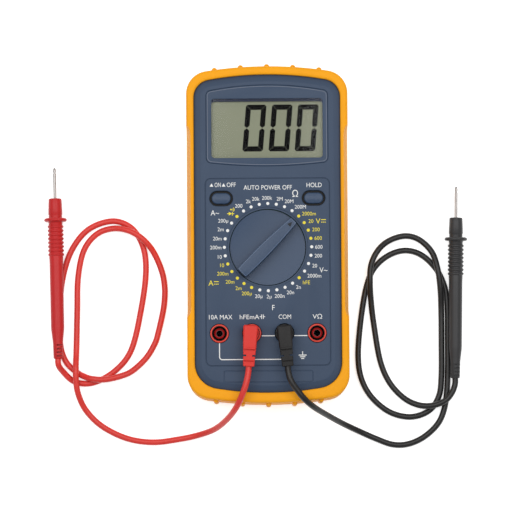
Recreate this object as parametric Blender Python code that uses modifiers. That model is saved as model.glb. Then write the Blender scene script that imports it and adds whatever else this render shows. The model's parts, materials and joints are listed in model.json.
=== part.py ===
"""Digital multimeter in a rubber holster, with its two test leads plugged in.

The meter lies on its back: +Z comes out of the dial, +Y points to the display,
and the origin is under the middle of the holster. Run it with
blender --background --python part.py, or from the text editor.
"""
import math
from typing import NamedTuple

import bmesh
import bpy
from mathutils import Matrix, Vector

MM = 0.001

# Fits
FIT = 0.3 * MM              # gap that a seated piece keeps to its seat
SLIDE = 0.4 * MM            # gap round a piece that slides or turns
EMBED = 0.4 * MM            # how far a boss is sunk into the wall that carries it
OVERCUT = 1.0 * MM          # how far a cutter runs past the face it opens

# Layout of the face, from the top edge of the case down
TOP_MARGIN = 8.2 * MM
WINDOW_LENGTH = 46.8 * MM
WINDOW_TO_BUTTONS = 19.5 * MM
BUTTONS_TO_KNOB = 28.8 * MM
KNOB_TO_SOCKETS = 50.4 * MM
SOCKETS_TO_END = 37.3 * MM
WINDOW_WIDTH = 70.5 * MM
SIDE_MARGIN = 8.75 * MM
BUTTON_SPACING = 54.2 * MM
SOCKET_PITCH = 19.05 * MM

# Case
CASE_WALL = 2.2 * MM
CASE_FLOOR = 3.0 * MM
FACE_WALL = 2.4 * MM
CASE_CORNER = 10.0 * MM
CASE_END_ARC = 232.0 * MM   # radius of the arched top and bottom edges
REAR_CASE_HEIGHT = 15.7 * MM
REAR_EDGE = 2.4 * MM
FACE_STEP = 3.0 * MM        # height of the face above the ledge that the holster lip covers
FACE_SLOPE = 4.1 * MM       # width of the sloping border of the face
FACE_SKIRT = 1.8 * MM       # upright edge below that slope
GROOVE_WIDTH = 0.7 * MM
GROOVE_DEPTH = 0.45 * MM
PANEL_MARGIN = 6.7 * MM     # from the side of the face opening to the dial panel's groove
PANEL_ABOVE_BUTTONS = 11.7 * MM
PANEL_BELOW_SOCKETS = 18.9 * MM
PANEL_CORNER = 3.2 * MM
PLATE_LENGTH = 51.8 * MM
PLATE_HEIGHT = 6.5 * MM
PLATE_BELOW_PANEL = 3.1 * MM
PLATE_CORNER = 0.8 * MM

# Holster
HOLSTER_WALL = 3.15 * MM
HOLSTER_BACK = 2.0 * MM
LIP_RISE = 1.2 * MM         # lip front above the face of the case
LIP_SIDE = 4.35 * MM
LIP_TOP = 4.9 * MM
LIP_BOTTOM = 6.0 * MM
LIP_TOP_ARC = 195.0 * MM
LIP_BOTTOM_ARC = 180.0 * MM
LIP_TOP_CORNER = 10.5 * MM
LIP_BOTTOM_CORNER = 15.0 * MM
LIP_GAP = 0.3 * MM          # dark line between the lip and the face
LIP_CHAMFER = 1.0 * MM
HOLSTER_EDGE = 2.0 * MM
RIB_COUNT = 5
RIB_PITCH = 15.4 * MM
RIB_RADIUS = 1.6 * MM
RIB_END_MARGIN = 3.5 * MM
GRIP_LENGTH = 113.0 * MM
GRIP_CENTRE = 7.8 * MM
GRIP_WIDTH = 2.5 * MM
GRIP_HEIGHT = 15.0 * MM
GRIP_RUNOUT = 6.0 * MM
BACK_WINDOW_MARGIN = 2.0 * MM
BACK_WINDOW_CORNER = 4.0 * MM

# Display
WINDOW_TOP_ARC = 177.0 * MM
WINDOW_BOTTOM_ARC = 282.0 * MM
WINDOW_CORNER = 3.0 * MM
WINDOW_THICKNESS = 1.2 * MM
VIEW_WIDTH = 65.4 * MM
VIEW_LENGTH = 33.4 * MM
VIEW_CORNER = 2.0 * MM
VIEW_BELOW_WINDOW_TOP = 9.1 * MM
LCD_BORDER = 1.4 * MM
LCD_THICKNESS = 2.8 * MM
LCD_FRAME_WALL = 1.6 * MM
LCD_LEDGE = 1.2 * MM
LCD_LEDGE_WIDTH = 1.6 * MM
STRIP_WIDTH = 2.2 * MM
STRIP_MARGIN = 6.0 * MM

# Selector
KNOB_RADIUS = 22.1 * MM
KNOB_RISE = 0.6 * MM
KNOB_EDGE = 0.5 * MM
KNOB_FLANGE = 2.7 * MM      # how far the hidden flange reaches past the knob
KNOB_GAP = 0.45 * MM
KNOB_STEP_WIDTH = 1.1 * MM  # sunk ring of the face round the knob
KNOB_STEP_DEPTH = 0.5 * MM
KNOB_REST_ANGLE = math.radians(-45.0)
SCOOP_RADIUS = 36.0 * MM
SCOOP_OFFSET = 7.0 * MM
SCOOP_DEPTH = 3.0 * MM
GRIP_BAR_RISE = 5.0 * MM
GRIP_BAR_TIP = 4.1 * MM
GRIP_BAR_TAIL = 6.4 * MM
GRIP_BAR_MARGIN = 0.8 * MM
GRIP_BAR_DRAFT = 0.5 * MM
GRIP_BAR_EDGE = 0.35 * MM
DETENT_COUNT = 32
DETENT_DEPTH = 0.7 * MM
DETENT_RING_WALL = 2.2 * MM
DETENT_RING_HEIGHT = 3.2 * MM
BALL_RADIUS = 1.5 * MM
BALL_PROUD = 1.1 * MM
SPRING_LENGTH = 4.4 * MM
SPRING_RADIUS = 1.15 * MM
SPRING_WIRE = 0.25 * MM
SPRING_TURNS = 4
WIPER_COUNT = 3
WIPER_LENGTH = 12.0 * MM
WIPER_WIDTH = 3.0 * MM
WIPER_THICKNESS = 0.4 * MM
WIPER_RADIUS = 13.0 * MM    # distance of the wipers from the selector's axis
WIPER_SPACE = 2.4 * MM      # from the board to the back of the knob

# Buttons
BUTTON_LENGTH = 11.7 * MM
BUTTON_WIDTH = 6.7 * MM
BUTTON_GAP = 1.0 * MM
BUTTON_RISE = 0.8 * MM
BUTTON_EDGE = 0.6 * MM
BUTTON_CHAMFER = 0.7 * MM
BUTTON_FLANGE = 0.9 * MM    # how far the hidden flange reaches past the opening
BUTTON_FLANGE_HEIGHT = 1.2 * MM
BUTTON_TRAVEL = 1.6 * MM
STEM_RADIUS = 1.5 * MM
SWITCH_SIDE = 9.0 * MM
SWITCH_FLOOR = 0.8 * MM

# Sockets
SOCKET_RADIUS = 5.6 * MM
SOCKET_RING = 1.2 * MM
SOCKET_RISE = 0.4 * MM
SOCKET_FLANGE = 1.2 * MM
SOCKET_FLANGE_HEIGHT = 1.4 * MM
SOCKET_DEPTH = 18.5 * MM
SOCKET_FLOOR = 1.7 * MM
SHROUD_SLOT = 1.15 * MM
SHROUD_DEPTH = 14.0 * MM
INNER_TUBE_WALL = 0.45 * MM
INNER_TUBE_DROP = 1.5 * MM
CONTACT_WALL = 0.4 * MM
PIN_RADIUS = 1.8 * MM

# Plugs
PLUG_FRONT = 4.5 * MM       # from the pin's axis to the blunt front end
PLUG_BLOCK = 9.0 * MM       # from the pin's axis to the first strain relief groove
PLUG_END = 19.6 * MM        # from the pin's axis to where the cord comes out
PLUG_WIDTH = 8.5 * MM
PLUG_WAIST = 7.8 * MM
PLUG_TAIL = 6.6 * MM
PLUG_HEIGHT = 10.5 * MM
PLUG_TAIL_HEIGHT = 7.0 * MM
PLUG_EDGE = 0.9 * MM
PLUG_GAP = 0.4 * MM
PLUG_SLOT = 1.0 * MM
PLUG_SLOT_STEP = 3.35 * MM
PLUG_CORE = 3.4 * MM
SHROUD_WALL = 0.55 * MM
PIN_LENGTH = 14.4 * MM
PIN_ROOT = 3.0 * MM
RED_PLUG_ANGLE = math.radians(-3.4)
RED_PLUG_SHIFT = -0.6 * MM  # the moulding sits this far beside its pin
BLACK_PLUG_ANGLE = math.radians(5.0)
BLACK_PLUG_SHIFT = 0.0

# Circuit board and what it carries
BOARD_THICKNESS = 1.6 * MM
BOARD_INSET = 0.8 * MM
DIAL_SPACE = 6.6 * MM       # from the board to the back of the face
BATTERY_LENGTH = 48.5 * MM
BATTERY_WIDTH = 26.5 * MM
BATTERY_HEIGHT = 17.5 * MM
BATTERY_EDGE = 2.0 * MM
BATTERY_HEADROOM = 1.7 * MM
BATTERY_TO_SOCKETS = 3.0 * MM
BATTERY_PLAY = 0.75 * MM
SNAP_THICKNESS = 3.4 * MM
COVER_THICKNESS = 1.6 * MM
COVER_LEDGE = 2.0 * MM
COVER_TONGUE = 5.6 * MM
COVER_CORNER = 2.0 * MM
COVER_SCREW_RADIUS = 1.0 * MM
COVER_SCREW_HEAD = 1.9 * MM
COVER_SCREW_LENGTH = 5.0 * MM
FUSE_LENGTH = 20.0 * MM
FUSE_RADIUS = 2.6 * MM
FUSE_CAP = 5.0 * MM
FUSE_WAIST = 0.25 * MM
FUSE_SPACING = 44.0 * MM
FUSE_BELOW_SOCKETS = 16.0 * MM
CLIP_WALL = 0.6 * MM
CLIP_LENGTH = 4.0 * MM
CLIP_STAND = 1.2 * MM
SHUNT_RADIUS = 0.9 * MM
SHUNT_SPAN = 20.0 * MM
SHUNT_DROP = 8.0 * MM
SHUNT_BELOW_SOCKETS = 9.3 * MM
BUZZER_RADIUS = 10.0 * MM
BUZZER_HEIGHT = 2.4 * MM
CHIP_SIDE = 20.0 * MM
CHIP_HEIGHT = 2.6 * MM

# Screws
CASE_SCREW_SIDE = 10.0 * MM     # from the side of the case
CASE_SCREW_TOP = 8.3 * MM
CASE_SCREW_BOTTOM = 11.5 * MM
CASE_BOSS_RADIUS = 4.2 * MM
CASE_SCREW_RADIUS = 1.45 * MM
CASE_SCREW_HEAD = 2.9 * MM
CASE_SCREW_HEAD_HEIGHT = 2.2 * MM
CASE_SCREW_BITE = 8.5 * MM
BOARD_SCREW_SIDE = 9.0 * MM
BOARD_SCREW_ABOVE_SOCKETS = 18.2 * MM
BOARD_BOSS_RADIUS = 3.0 * MM
BOARD_SCREW_RADIUS = 1.2 * MM
BOARD_SCREW_HEAD = 2.6 * MM
BOARD_SCREW_HEAD_HEIGHT = 1.6 * MM
BOARD_SCREW_BITE = 4.2 * MM

# Tilt stand
STAND_WIDTH = 52.0 * MM
STAND_LENGTH = 58.0 * MM
STAND_THICKNESS = 3.0 * MM
STAND_CORNER = 6.0 * MM
STAND_FLUTE_COUNT = 3
STAND_FLUTE_PITCH = 12.0 * MM
STAND_FLUTE_RADIUS = 2.0 * MM
STAND_FLUTE_DEPTH = 0.6 * MM
STAND_ABOVE_SNAP = 5.6 * MM
FINGER_NOTCH_RADIUS = 7.0 * MM
PIVOT_RADIUS = 0.9 * MM
PIVOT_LENGTH = 2.4 * MM
POCKET_WALL = 2.0 * MM

# Test leads
CORD_RADIUS = 1.7 * MM
CORD_CLEAR = 0.05 * MM      # the cord lies this far above the table
CORD_POINTS = 80
CORD_STRAIGHT = 4.0 * MM    # straight run out of a plug or a probe
PROBE_LENGTH = 95.4 * MM
NOSE_LENGTH = 10.4 * MM
NOSE_TIP_RADIUS = 3.55 * MM
NOSE_RADIUS = 4.05 * MM
NECK_RADIUS = 3.4 * MM
FLANGE_RADIUS = 6.75 * MM
FLANGE_START = 11.4 * MM
FLANGE_THICKNESS = 2.0 * MM
RING_COUNT = 8
RING_START = 16.5 * MM
RING_PITCH = 2.37 * MM
RING_RADIUS = 4.65 * MM
HANDLE_RADIUS = 3.95 * MM
HANDLE_END = 78.0 * MM
RELIEF_START = 86.0 * MM
RELIEF_RADIUS = 2.75 * MM
RELIEF_GROOVES = 3
RELIEF_PITCH = 2.4 * MM
RELIEF_GROOVE_DEPTH = 0.8 * MM
NEEDLE_RADIUS = 0.85 * MM
NEEDLE_OUT = 17.7 * MM
NEEDLE_IN = 7.0 * MM
NEEDLE_POINT = 2.2 * MM
NEEDLE_GROOVE = 2.8 * MM
NEEDLE_GROOVE_DEPTH = 0.2 * MM

# Where each probe's cord end lies, and which way the probe points
RED_PROBE_END = (-124.6 * MM, -71.8 * MM, 8.5 * MM)
RED_PROBE_TURN = math.radians(1.05)
RED_PROBE_DIP = math.radians(1.15)
BLACK_PROBE_END = (110.9 * MM, -84.7 * MM, 5.5 * MM)
BLACK_PROBE_TURN = math.radians(-0.8)
BLACK_PROBE_DIP = math.radians(-0.95)

# Routes of the leads from plug to probe in millimetres: across, along, and
# the height of the cord's underside above the table
RED_ROUTE = (
    (-13.4, -88.5, 40.4), (-16.1, -95.7, 39.0), (-19.6, -102.4, 33.6), (-24.9, -108.7, 22.8),
    (-32.1, -114.1, 10.4), (-41.4, -117.4, 2.6), (-52.8, -119.8, 0), (-68.8, -121.3, 0),
    (-84.3, -118.2, 0), (-98.4, -110.9, 0), (-108.1, -101.7, 0.4), (-113.0, -92.7, 3.4),
    (-114.2, -84.5, 4.6), (-114.3, -77.5, 4.6), (-114.2, -69.5, 1.4), (-114.0, -60.5, 0),
    (-113.6, -42.6, 0), (-113.0, -23.0, 0), (-109.5, -7.1, 0), (-102.0, 2.4, 0), (-92.1, 5.8, 0.9),
    (-81.9, 4.0, 4.0), (-73.2, -1.8, 4.2), (-66.9, -10.4, 1.2), (-62.1, -23.9, 0),
    (-61.7, -38.8, 0), (-66.3, -57.8, 0), (-75.5, -74.8, 0.8), (-85.1, -81.4, 3.6),
    (-95.9, -84.1, 4.3), (-104.4, -83.8, 4.0), (-109.6, -82.2, 1.2), (-114.2, -79.6, 0),
    (-120.3, -73.6, 0),
    (-123.7, -63.4, 0), (-124.2, -45.6, 0), (-122.4, -24.7, 0), (-116.9, -7.2, 0),
    (-106.9, 5.3, 0), (-92.6, 10.3, 0), (-81.1, 6.1, 0), (-74.3, -5.0, 0),
    (-72.6, -20.2, 0), (-75.5, -42.3, 0), (-81.4, -66.4, 0), (-91.3, -79.1, 0),
    (-104.3, -86.0, 0), (-115.1, -85.4, 0), (-121.8, -79.6, 2.6),
)
BLACK_ROUTE = (
    (13.1, -86.3, 40.3), (16.6, -91.6, 39.6), (21.1, -97.1, 38.0), (26.8, -101.8, 32.4),
    (34.9, -106.5, 20.4), (44.0, -111.3, 9.0), (53.6, -115.8, 2.1), (63.7, -120.3, 0.1),
    (73.5, -123.8, 0), (82.7, -123.6, 0), (92.0, -119.6, 0), (100.1, -112.3, 0),
    (104.6, -103.9, 0), (106.3, -92.9, 0), (106.7, -78.0, 0), (107.0, -59.0, 0),
    (107.0, -44.1, 0), (105.8, -31.8, 0), (100.4, -20.5, 0), (91.5, -12.0, 0),
    (81.4, -8.4, 0), (71.3, -10.5, 0), (63.1, -18.7, 0), (58.6, -30.6, 0),
    (55.1, -50.9, 0), (53.5, -71.1, 0), (55.4, -84.8, 0), (61.6, -96.0, 0),
    (72.3, -104.7, 0), (84.7, -107.5, 0), (95.5, -103.8, 0), (101.2, -95.1, 0),
    (102.6, -83.3, 0), (102.8, -64.9, 0), (102.8, -44.7, 0.7), (102.6, -31.0, 3.4),
    (101.1, -19.8, 4.2), (96.8, -10.1, 2.0), (90.1, -2.8, 0.3), (81.8, 0.2, 0),
    (72.5, -1.5, 0.5), (65.4, -7.4, 3.0), (61.6, -16.8, 4.2), (60.8, -27.2, 4.2),
    (61.4, -38.5, 1.6), (63.0, -52.4, 0), (66.5, -73.6, 0), (71.8, -86.6, 0),
    (80.0, -95.9, 0.8), (88.6, -100.4, 3.4), (97.0, -100.9, 4.3), (104.7, -98.1, 4.4),
    (109.0, -93.2, 4.0),
)

# Facets
CORNER_STEPS = 5
EDGE_STEPS = 6
KNOB_STEPS = 44
ROUND_STEPS = 16
SMALL_STEPS = 10
PROBE_STEPS = 12

# Levels, from the table up
CASE_BACK_Z = HOLSTER_BACK + FIT
FLOOR_Z = CASE_BACK_Z + CASE_FLOOR
SEAM_Z = CASE_BACK_Z + REAR_CASE_HEIGHT
BATTERY_Z = CASE_BACK_Z + COVER_THICKNESS + FIT
BOARD_Z = BATTERY_Z + BATTERY_HEIGHT + BATTERY_HEADROOM
BOARD_TOP_Z = BOARD_Z + BOARD_THICKNESS
FACE_BACK_Z = BOARD_TOP_Z + DIAL_SPACE
FACE_Z = FACE_BACK_Z + FACE_WALL
LEDGE_Z = FACE_Z - FACE_STEP
LIP_Z = FACE_Z + LIP_RISE

# Places on the face
CASE_LENGTH = (TOP_MARGIN + WINDOW_LENGTH + WINDOW_TO_BUTTONS + BUTTONS_TO_KNOB
               + KNOB_TO_SOCKETS + SOCKETS_TO_END)
CASE_TOP_Y = CASE_LENGTH / 2
WINDOW_TOP_Y = CASE_TOP_Y - TOP_MARGIN
WINDOW_BOTTOM_Y = WINDOW_TOP_Y - WINDOW_LENGTH
BUTTON_Y = WINDOW_BOTTOM_Y - WINDOW_TO_BUTTONS
KNOB_Y = BUTTON_Y - BUTTONS_TO_KNOB
SOCKET_Y = KNOB_Y - KNOB_TO_SOCKETS
CASE_HALF = WINDOW_WIDTH / 2 + SIDE_MARGIN
VIEW_Y = WINDOW_TOP_Y - VIEW_BELOW_WINDOW_TOP - VIEW_LENGTH / 2
LCD_LENGTH = VIEW_LENGTH + 2 * LCD_BORDER
LCD_WIDTH = VIEW_WIDTH + 2 * LCD_BORDER
PANEL_TOP_Y = BUTTON_Y + PANEL_ABOVE_BUTTONS
PANEL_BOTTOM_Y = SOCKET_Y - PANEL_BELOW_SOCKETS
PLATE_Y = PANEL_BOTTOM_Y - PLATE_BELOW_PANEL - PLATE_HEIGHT / 2
SOCKET_XS = [(i - 1.5) * SOCKET_PITCH for i in range(4)]
BUTTON_XS = [-BUTTON_SPACING / 2, BUTTON_SPACING / 2]

# Places inside
BATTERY_BOTTOM_Y = SOCKET_Y + SOCKET_RADIUS + BATTERY_TO_SOCKETS
BATTERY_TOP_Y = BATTERY_BOTTOM_Y + BATTERY_LENGTH
STAND_FOOT_Y = BATTERY_TOP_Y + FIT + SNAP_THICKNESS + STAND_ABOVE_SNAP
HINGE_Y = STAND_FOOT_Y + STAND_LENGTH
HINGE_Z = CASE_BACK_Z + FIT + STAND_THICKNESS / 2
POCKET_Z = CASE_BACK_Z + FIT + STAND_THICKNESS + FIT
CASE_SCREW_SPOTS = [(sx * (CASE_HALF - CASE_SCREW_SIDE), y)
                    for y in (CASE_TOP_Y - CASE_SCREW_TOP, -CASE_TOP_Y + CASE_SCREW_BOTTOM)
                    for sx in (-1, 1)]
BOARD_SCREW_SPOTS = [(sx * (CASE_HALF - BOARD_SCREW_SIDE), SOCKET_Y + BOARD_SCREW_ABOVE_SOCKETS)
                     for sx in (-1, 1)]
FUSE_Y = SOCKET_Y - FUSE_BELOW_SOCKETS
FUSE_Z = BOARD_Z - FIT - CLIP_STAND - FUSE_RADIUS - FIT - CLIP_WALL


class Arched(NamedTuple):
    """An upright shield outline with arched ends and round corners."""
    half_width: float
    top: float
    bottom: float
    top_arc: float
    bottom_arc: float
    top_corner: float
    bottom_corner: float


CASE_OUTLINE = Arched(CASE_HALF, CASE_TOP_Y, -CASE_TOP_Y, CASE_END_ARC, CASE_END_ARC,
                      CASE_CORNER, CASE_CORNER)
HOLSTER_GROWTH = FIT + HOLSTER_WALL
HOLSTER_HALF = CASE_HALF + HOLSTER_GROWTH
HOLSTER_TOP_Y = CASE_TOP_Y + HOLSTER_GROWTH
OPENING_OUTLINE = Arched(HOLSTER_HALF - LIP_SIDE, HOLSTER_TOP_Y - LIP_TOP, LIP_BOTTOM - HOLSTER_TOP_Y,
                         LIP_TOP_ARC, LIP_BOTTOM_ARC, LIP_TOP_CORNER, LIP_BOTTOM_CORNER)
WINDOW_OUTLINE = Arched(WINDOW_WIDTH / 2, WINDOW_TOP_Y, WINDOW_BOTTOM_Y,
                        WINDOW_TOP_ARC, WINDOW_BOTTOM_ARC, WINDOW_CORNER, WINDOW_CORNER)


# Outlines

def arc(centre, radius, start, end, steps):
    """Points along a circular arc, both ends included."""
    angles = [start + (end - start) * i / steps for i in range(steps + 1)]
    return [(centre[0] + radius * math.cos(a), centre[1] + radius * math.sin(a)) for a in angles]


def circle(radius, steps, centre=(0.0, 0.0)):
    return arc(centre, radius, 0.0, 2 * math.pi, steps)[:-1]


def arched_end(half_width, reach, end_arc, corner):
    """Right corner, arched end and left corner of an Arched outline that ends at +reach."""
    centre_y = reach - end_arc
    corner_x = half_width - corner
    corner_y = centre_y + math.sqrt((end_arc - corner) ** 2 - corner_x ** 2)
    meet = math.atan2(corner_y - centre_y, corner_x)
    right = arc((corner_x, corner_y), corner, 0.0, meet, CORNER_STEPS)
    crown = arc((0.0, centre_y), end_arc, meet, math.pi - meet, EDGE_STEPS)
    left = arc((-corner_x, corner_y), corner, math.pi - meet, math.pi, CORNER_STEPS)
    return right + crown[1:-1] + left


def arched(shape, inset=0.0):
    """Points of an Arched outline, drawn in by inset, or let out where inset is negative."""
    half = shape.half_width - inset
    upper = arched_end(half, shape.top - inset, shape.top_arc - inset,
                       max(shape.top_corner - inset, FIT))
    lower = arched_end(half, -shape.bottom - inset, shape.bottom_arc - inset,
                       max(shape.bottom_corner - inset, FIT))
    return upper + [(-x, -y) for x, y in lower]


def rounded(width, height, corner, centre=(0.0, 0.0), steps=3):
    """Points of a rectangle with round corners."""
    points = []
    for quarter, (sx, sy) in enumerate(((1, 1), (-1, 1), (-1, -1), (1, -1))):
        middle = (centre[0] + sx * (width / 2 - corner), centre[1] + sy * (height / 2 - corner))
        points += arc(middle, corner, quarter * math.pi / 2, (quarter + 1) * math.pi / 2, steps)
    return points


def stadium(length, width, centre=(0.0, 0.0)):
    half = (length - width) / 2
    right = arc((centre[0] + half, centre[1]), width / 2, -math.pi / 2, math.pi / 2, 6)
    left = arc((centre[0] - half, centre[1]), width / 2, math.pi / 2, 3 * math.pi / 2, 6)
    return right + left


def scalloped(radius, depth, count):
    """A ring of notches, one of them at angle zero."""
    samples = 3
    points = []
    for i in range(count * samples):
        angle = 2 * math.pi * i / (count * samples)
        points.append((radius + depth * (1 + math.cos(count * angle)) / 2, angle))
    return [(r * math.cos(a), r * math.sin(a)) for r, a in points]


# Scene, materials and placing

def clear_scene():
    for leftover in list(bpy.data.objects):
        bpy.data.objects.remove(leftover, do_unlink=True)


def make_collection(name):
    made = bpy.data.collections.new(name)
    bpy.context.scene.collection.children.link(made)
    return made


def make_material(name, colour, roughness, metallic=0.0):
    made = bpy.data.materials.new(name)
    made.use_nodes = True
    shader = made.node_tree.nodes["Principled BSDF"]
    shader.inputs["Base Color"].default_value = (*colour, 1.0)
    shader.inputs["Roughness"].default_value = roughness
    shader.inputs["Metallic"].default_value = metallic
    return made


def make_empty(name, location=(0.0, 0.0, 0.0), rotation=(0.0, 0.0, 0.0), parent=None):
    made = bpy.data.objects.new(name, None)
    PARTS.objects.link(made)
    made.location = location
    made.rotation_euler = rotation
    made.parent = parent
    return made


def add_part(name, mesh, finish, parent, location=(0.0, 0.0, 0.0), rotation=(0.0, 0.0, 0.0)):
    """One sub-part of the meter."""
    made = bpy.data.objects.new(name, mesh)
    mesh.name = name
    PARTS.objects.link(made)
    made.parent = parent
    made.location = location
    made.rotation_euler = rotation
    mesh.materials.clear()
    mesh.materials.append(finish)
    return made


def add_cutter(name, mesh, parent=None, location=(0.0, 0.0, 0.0), rotation=(0.0, 0.0, 0.0)):
    """A shape that is only taken away from a part, or joined to one."""
    made = bpy.data.objects.new(name, mesh)
    CUTTERS.objects.link(made)
    made.parent = parent
    made.location = location
    made.rotation_euler = rotation
    made.hide_render = True
    made.display_type = "WIRE"
    return made


def combine(target, tool, operation):
    step = target.modifiers.new(tool.name, "BOOLEAN")
    step.operation = operation
    step.solver = "MANIFOLD"
    step.object = tool


def cut(target, *tools):
    for tool in tools:
        combine(target, tool, "DIFFERENCE")


def join(target, *tools):
    for tool in tools:
        combine(target, tool, "UNION")


def round_edges(target, width, segments=2, angle=math.radians(50)):
    step = target.modifiers.new("round_edges", "BEVEL")
    step.width = width
    step.segments = segments
    step.limit_method = "ANGLE"
    step.angle_limit = angle
    step.use_clamp_overlap = True


def smooth(mesh, angle=math.radians(35)):
    mesh.shade_smooth()
    mesh.set_sharp_from_angle(angle=angle)


# Meshes

def mesh_from(bm):
    mesh = bpy.data.meshes.new("mesh")
    bmesh.ops.recalc_face_normals(bm, faces=bm.faces)
    bm.to_mesh(mesh)
    bm.free()
    return mesh


def slab(outlines, bottom, top, slope=None):
    """A flat outline, with holes where more outlines follow, from bottom to top.

    slope is (inset, rise): the top face is drawn in by inset while it rises by rise.
    """
    curve = bpy.data.curves.new("outline", "CURVE")
    curve.dimensions = "2D"
    curve.fill_mode = "BOTH"
    curve.extrude = (top - bottom) / 2
    for outline in outlines:
        spline = curve.splines.new("POLY")
        spline.points.add(len(outline) - 1)
        for point, (x, y) in zip(spline.points, outline):
            point.co = (x, y, 0.0, 1.0)
        spline.use_cyclic_u = True
    holder = bpy.data.objects.new("outline", curve)
    CUTTERS.objects.link(holder)
    filled = bpy.data.meshes.new_from_object(holder.evaluated_get(bpy.context.evaluated_depsgraph_get()))
    bpy.data.objects.remove(holder)
    bpy.data.curves.remove(curve)
    bm = bmesh.new()
    bm.from_mesh(filled)
    bpy.data.meshes.remove(filled)
    bmesh.ops.remove_doubles(bm, verts=bm.verts, dist=1e-6)
    bmesh.ops.dissolve_limit(bm, angle_limit=math.radians(0.5), verts=bm.verts, edges=bm.edges)
    bmesh.ops.translate(bm, verts=bm.verts, vec=(0.0, 0.0, (top + bottom) / 2))
    if slope:
        bmesh.ops.recalc_face_normals(bm, faces=bm.faces)
        lid = [face for face in bm.faces if face.normal.z > 0.9]
        bmesh.ops.inset_region(bm, faces=lid, thickness=slope[0], depth=slope[1], use_even_offset=True)
    return mesh_from(bm)


def flipped(mesh, level):
    """The same mesh, turned upside down about a level."""
    mesh.transform(Matrix.Translation((0, 0, 2 * level)) @ Matrix.Diagonal((1, 1, -1, 1)))
    mesh.flip_normals()
    return mesh


def bar(size, centre=(0.0, 0.0, 0.0)):
    bm = bmesh.new()
    bmesh.ops.create_cube(bm, size=1.0, matrix=Matrix.Translation(centre) @ Matrix.Diagonal((*size, 1.0)))
    return mesh_from(bm)


def rod(radius, start, end, steps=ROUND_STEPS):
    """A round bar along Z."""
    bm = bmesh.new()
    bmesh.ops.create_cone(bm, cap_ends=True, segments=steps, radius1=radius, radius2=radius,
                          depth=end - start, matrix=Matrix.Translation((0, 0, (start + end) / 2)))
    return mesh_from(bm)


def lay_along_x(mesh):
    """Turns a mesh made along Z so that it runs along X."""
    mesh.transform(Matrix.Rotation(math.pi / 2, 4, "Y"))
    return mesh


def merged(meshes):
    """One mesh from several that don't touch."""
    bm = bmesh.new()
    for mesh in meshes:
        bm.from_mesh(mesh)
        bpy.data.meshes.remove(mesh)
    return mesh_from(bm)


def moved(mesh, *offset):
    mesh.transform(Matrix.Translation(offset))
    return mesh


def at_each(spots, make):
    """One mesh with a copy at each spot."""
    return merged([moved(make(), x, y, 0.0) for x, y in spots])


def turned(profile, steps, closed=False):
    """A profile of (radius, height), running down its outer side, turned about Z."""
    mesh = bpy.data.meshes.new("profile")
    edges = [(i, i + 1) for i in range(len(profile) - 1)]
    if closed:
        edges.append((len(profile) - 1, 0))
    mesh.from_pydata([(r, 0.0, z) for r, z in profile], edges, [])
    holder = bpy.data.objects.new("profile", mesh)
    CUTTERS.objects.link(holder)
    screw = holder.modifiers.new("turn", "SCREW")
    screw.steps = steps
    screw.render_steps = steps
    screw.use_merge_vertices = True
    screw.merge_threshold = 1e-6
    solid = bpy.data.meshes.new_from_object(holder.evaluated_get(bpy.context.evaluated_depsgraph_get()))
    bpy.data.objects.remove(holder)
    bpy.data.meshes.remove(mesh)
    bm = bmesh.new()
    bm.from_mesh(solid)
    bpy.data.meshes.remove(solid)
    bmesh.ops.remove_doubles(bm, verts=bm.verts, dist=1e-6)
    return mesh_from(bm)


def tube_curve(name, points, radius, sides):
    """A round tube along points, as a curve with filled caps."""
    curve = bpy.data.curves.new(name, "CURVE")
    curve.dimensions = "3D"
    curve.bevel_depth = radius
    curve.bevel_resolution = sides
    curve.use_fill_caps = True
    curve.twist_mode = "MINIMUM"
    spline = curve.splines.new("POLY")
    spline.points.add(len(points) - 1)
    for point, place in zip(spline.points, points):
        point.co = (*place, 1.0)
    return curve


# Case and holster

def build_holster(finish, parent):
    holster = add_part("holster", slab([arched(CASE_OUTLINE, -HOLSTER_GROWTH)], 0.0, LIP_Z), finish, parent)
    round_edges(holster, HOLSTER_EDGE)
    end_arc = CASE_END_ARC + HOLSTER_GROWTH
    spots = []
    for i in range(RIB_COUNT):
        x = (i - (RIB_COUNT - 1) / 2) * RIB_PITCH
        y = HOLSTER_TOP_Y - end_arc + math.sqrt(end_arc ** 2 - x ** 2)
        spots += [(x, y), (x, -y)]
    ribs = add_cutter("holster_ribs", at_each(
        spots, lambda: rod(RIB_RADIUS, RIB_END_MARGIN, LIP_Z - RIB_END_MARGIN, SMALL_STEPS)))
    round_edges(ribs, RIB_RADIUS / 2, segments=1)
    join(holster, ribs)
    cavity = slab([arched(CASE_OUTLINE, -FIT)], HOLSTER_BACK, LEDGE_Z + FIT)
    cut(holster, add_cutter("holster_cavity", cavity))
    cut(holster, add_cutter("holster_opening", slab([arched(OPENING_OUTLINE)], LEDGE_Z, LIP_Z + OVERCUT)))
    flare = slab([arched(OPENING_OUTLINE, -LIP_CHAMFER)], LIP_Z - OVERCUT, LIP_Z,
                 slope=(LIP_CHAMFER, LIP_CHAMFER))
    cut(holster, add_cutter("lip_chamfer", flipped(flare, LIP_Z)))
    window_width = STAND_WIDTH + 2 * (SLIDE + BACK_WINDOW_MARGIN)
    window_bottom = STAND_FOOT_Y - SLIDE - BACK_WINDOW_MARGIN
    window_top = HINGE_Y + STAND_THICKNESS / 2 + SLIDE + BACK_WINDOW_MARGIN
    window = rounded(window_width, window_top - window_bottom, BACK_WINDOW_CORNER,
                     (0.0, (window_top + window_bottom) / 2))
    cut(holster, add_cutter("back_window", slab([window], -OVERCUT, HOLSTER_BACK + EMBED)))
    for side, label in ((-1, "left"), (1, "right")):
        cut(holster, add_cutter("grip_" + label, grip_wedge(side)))


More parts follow.
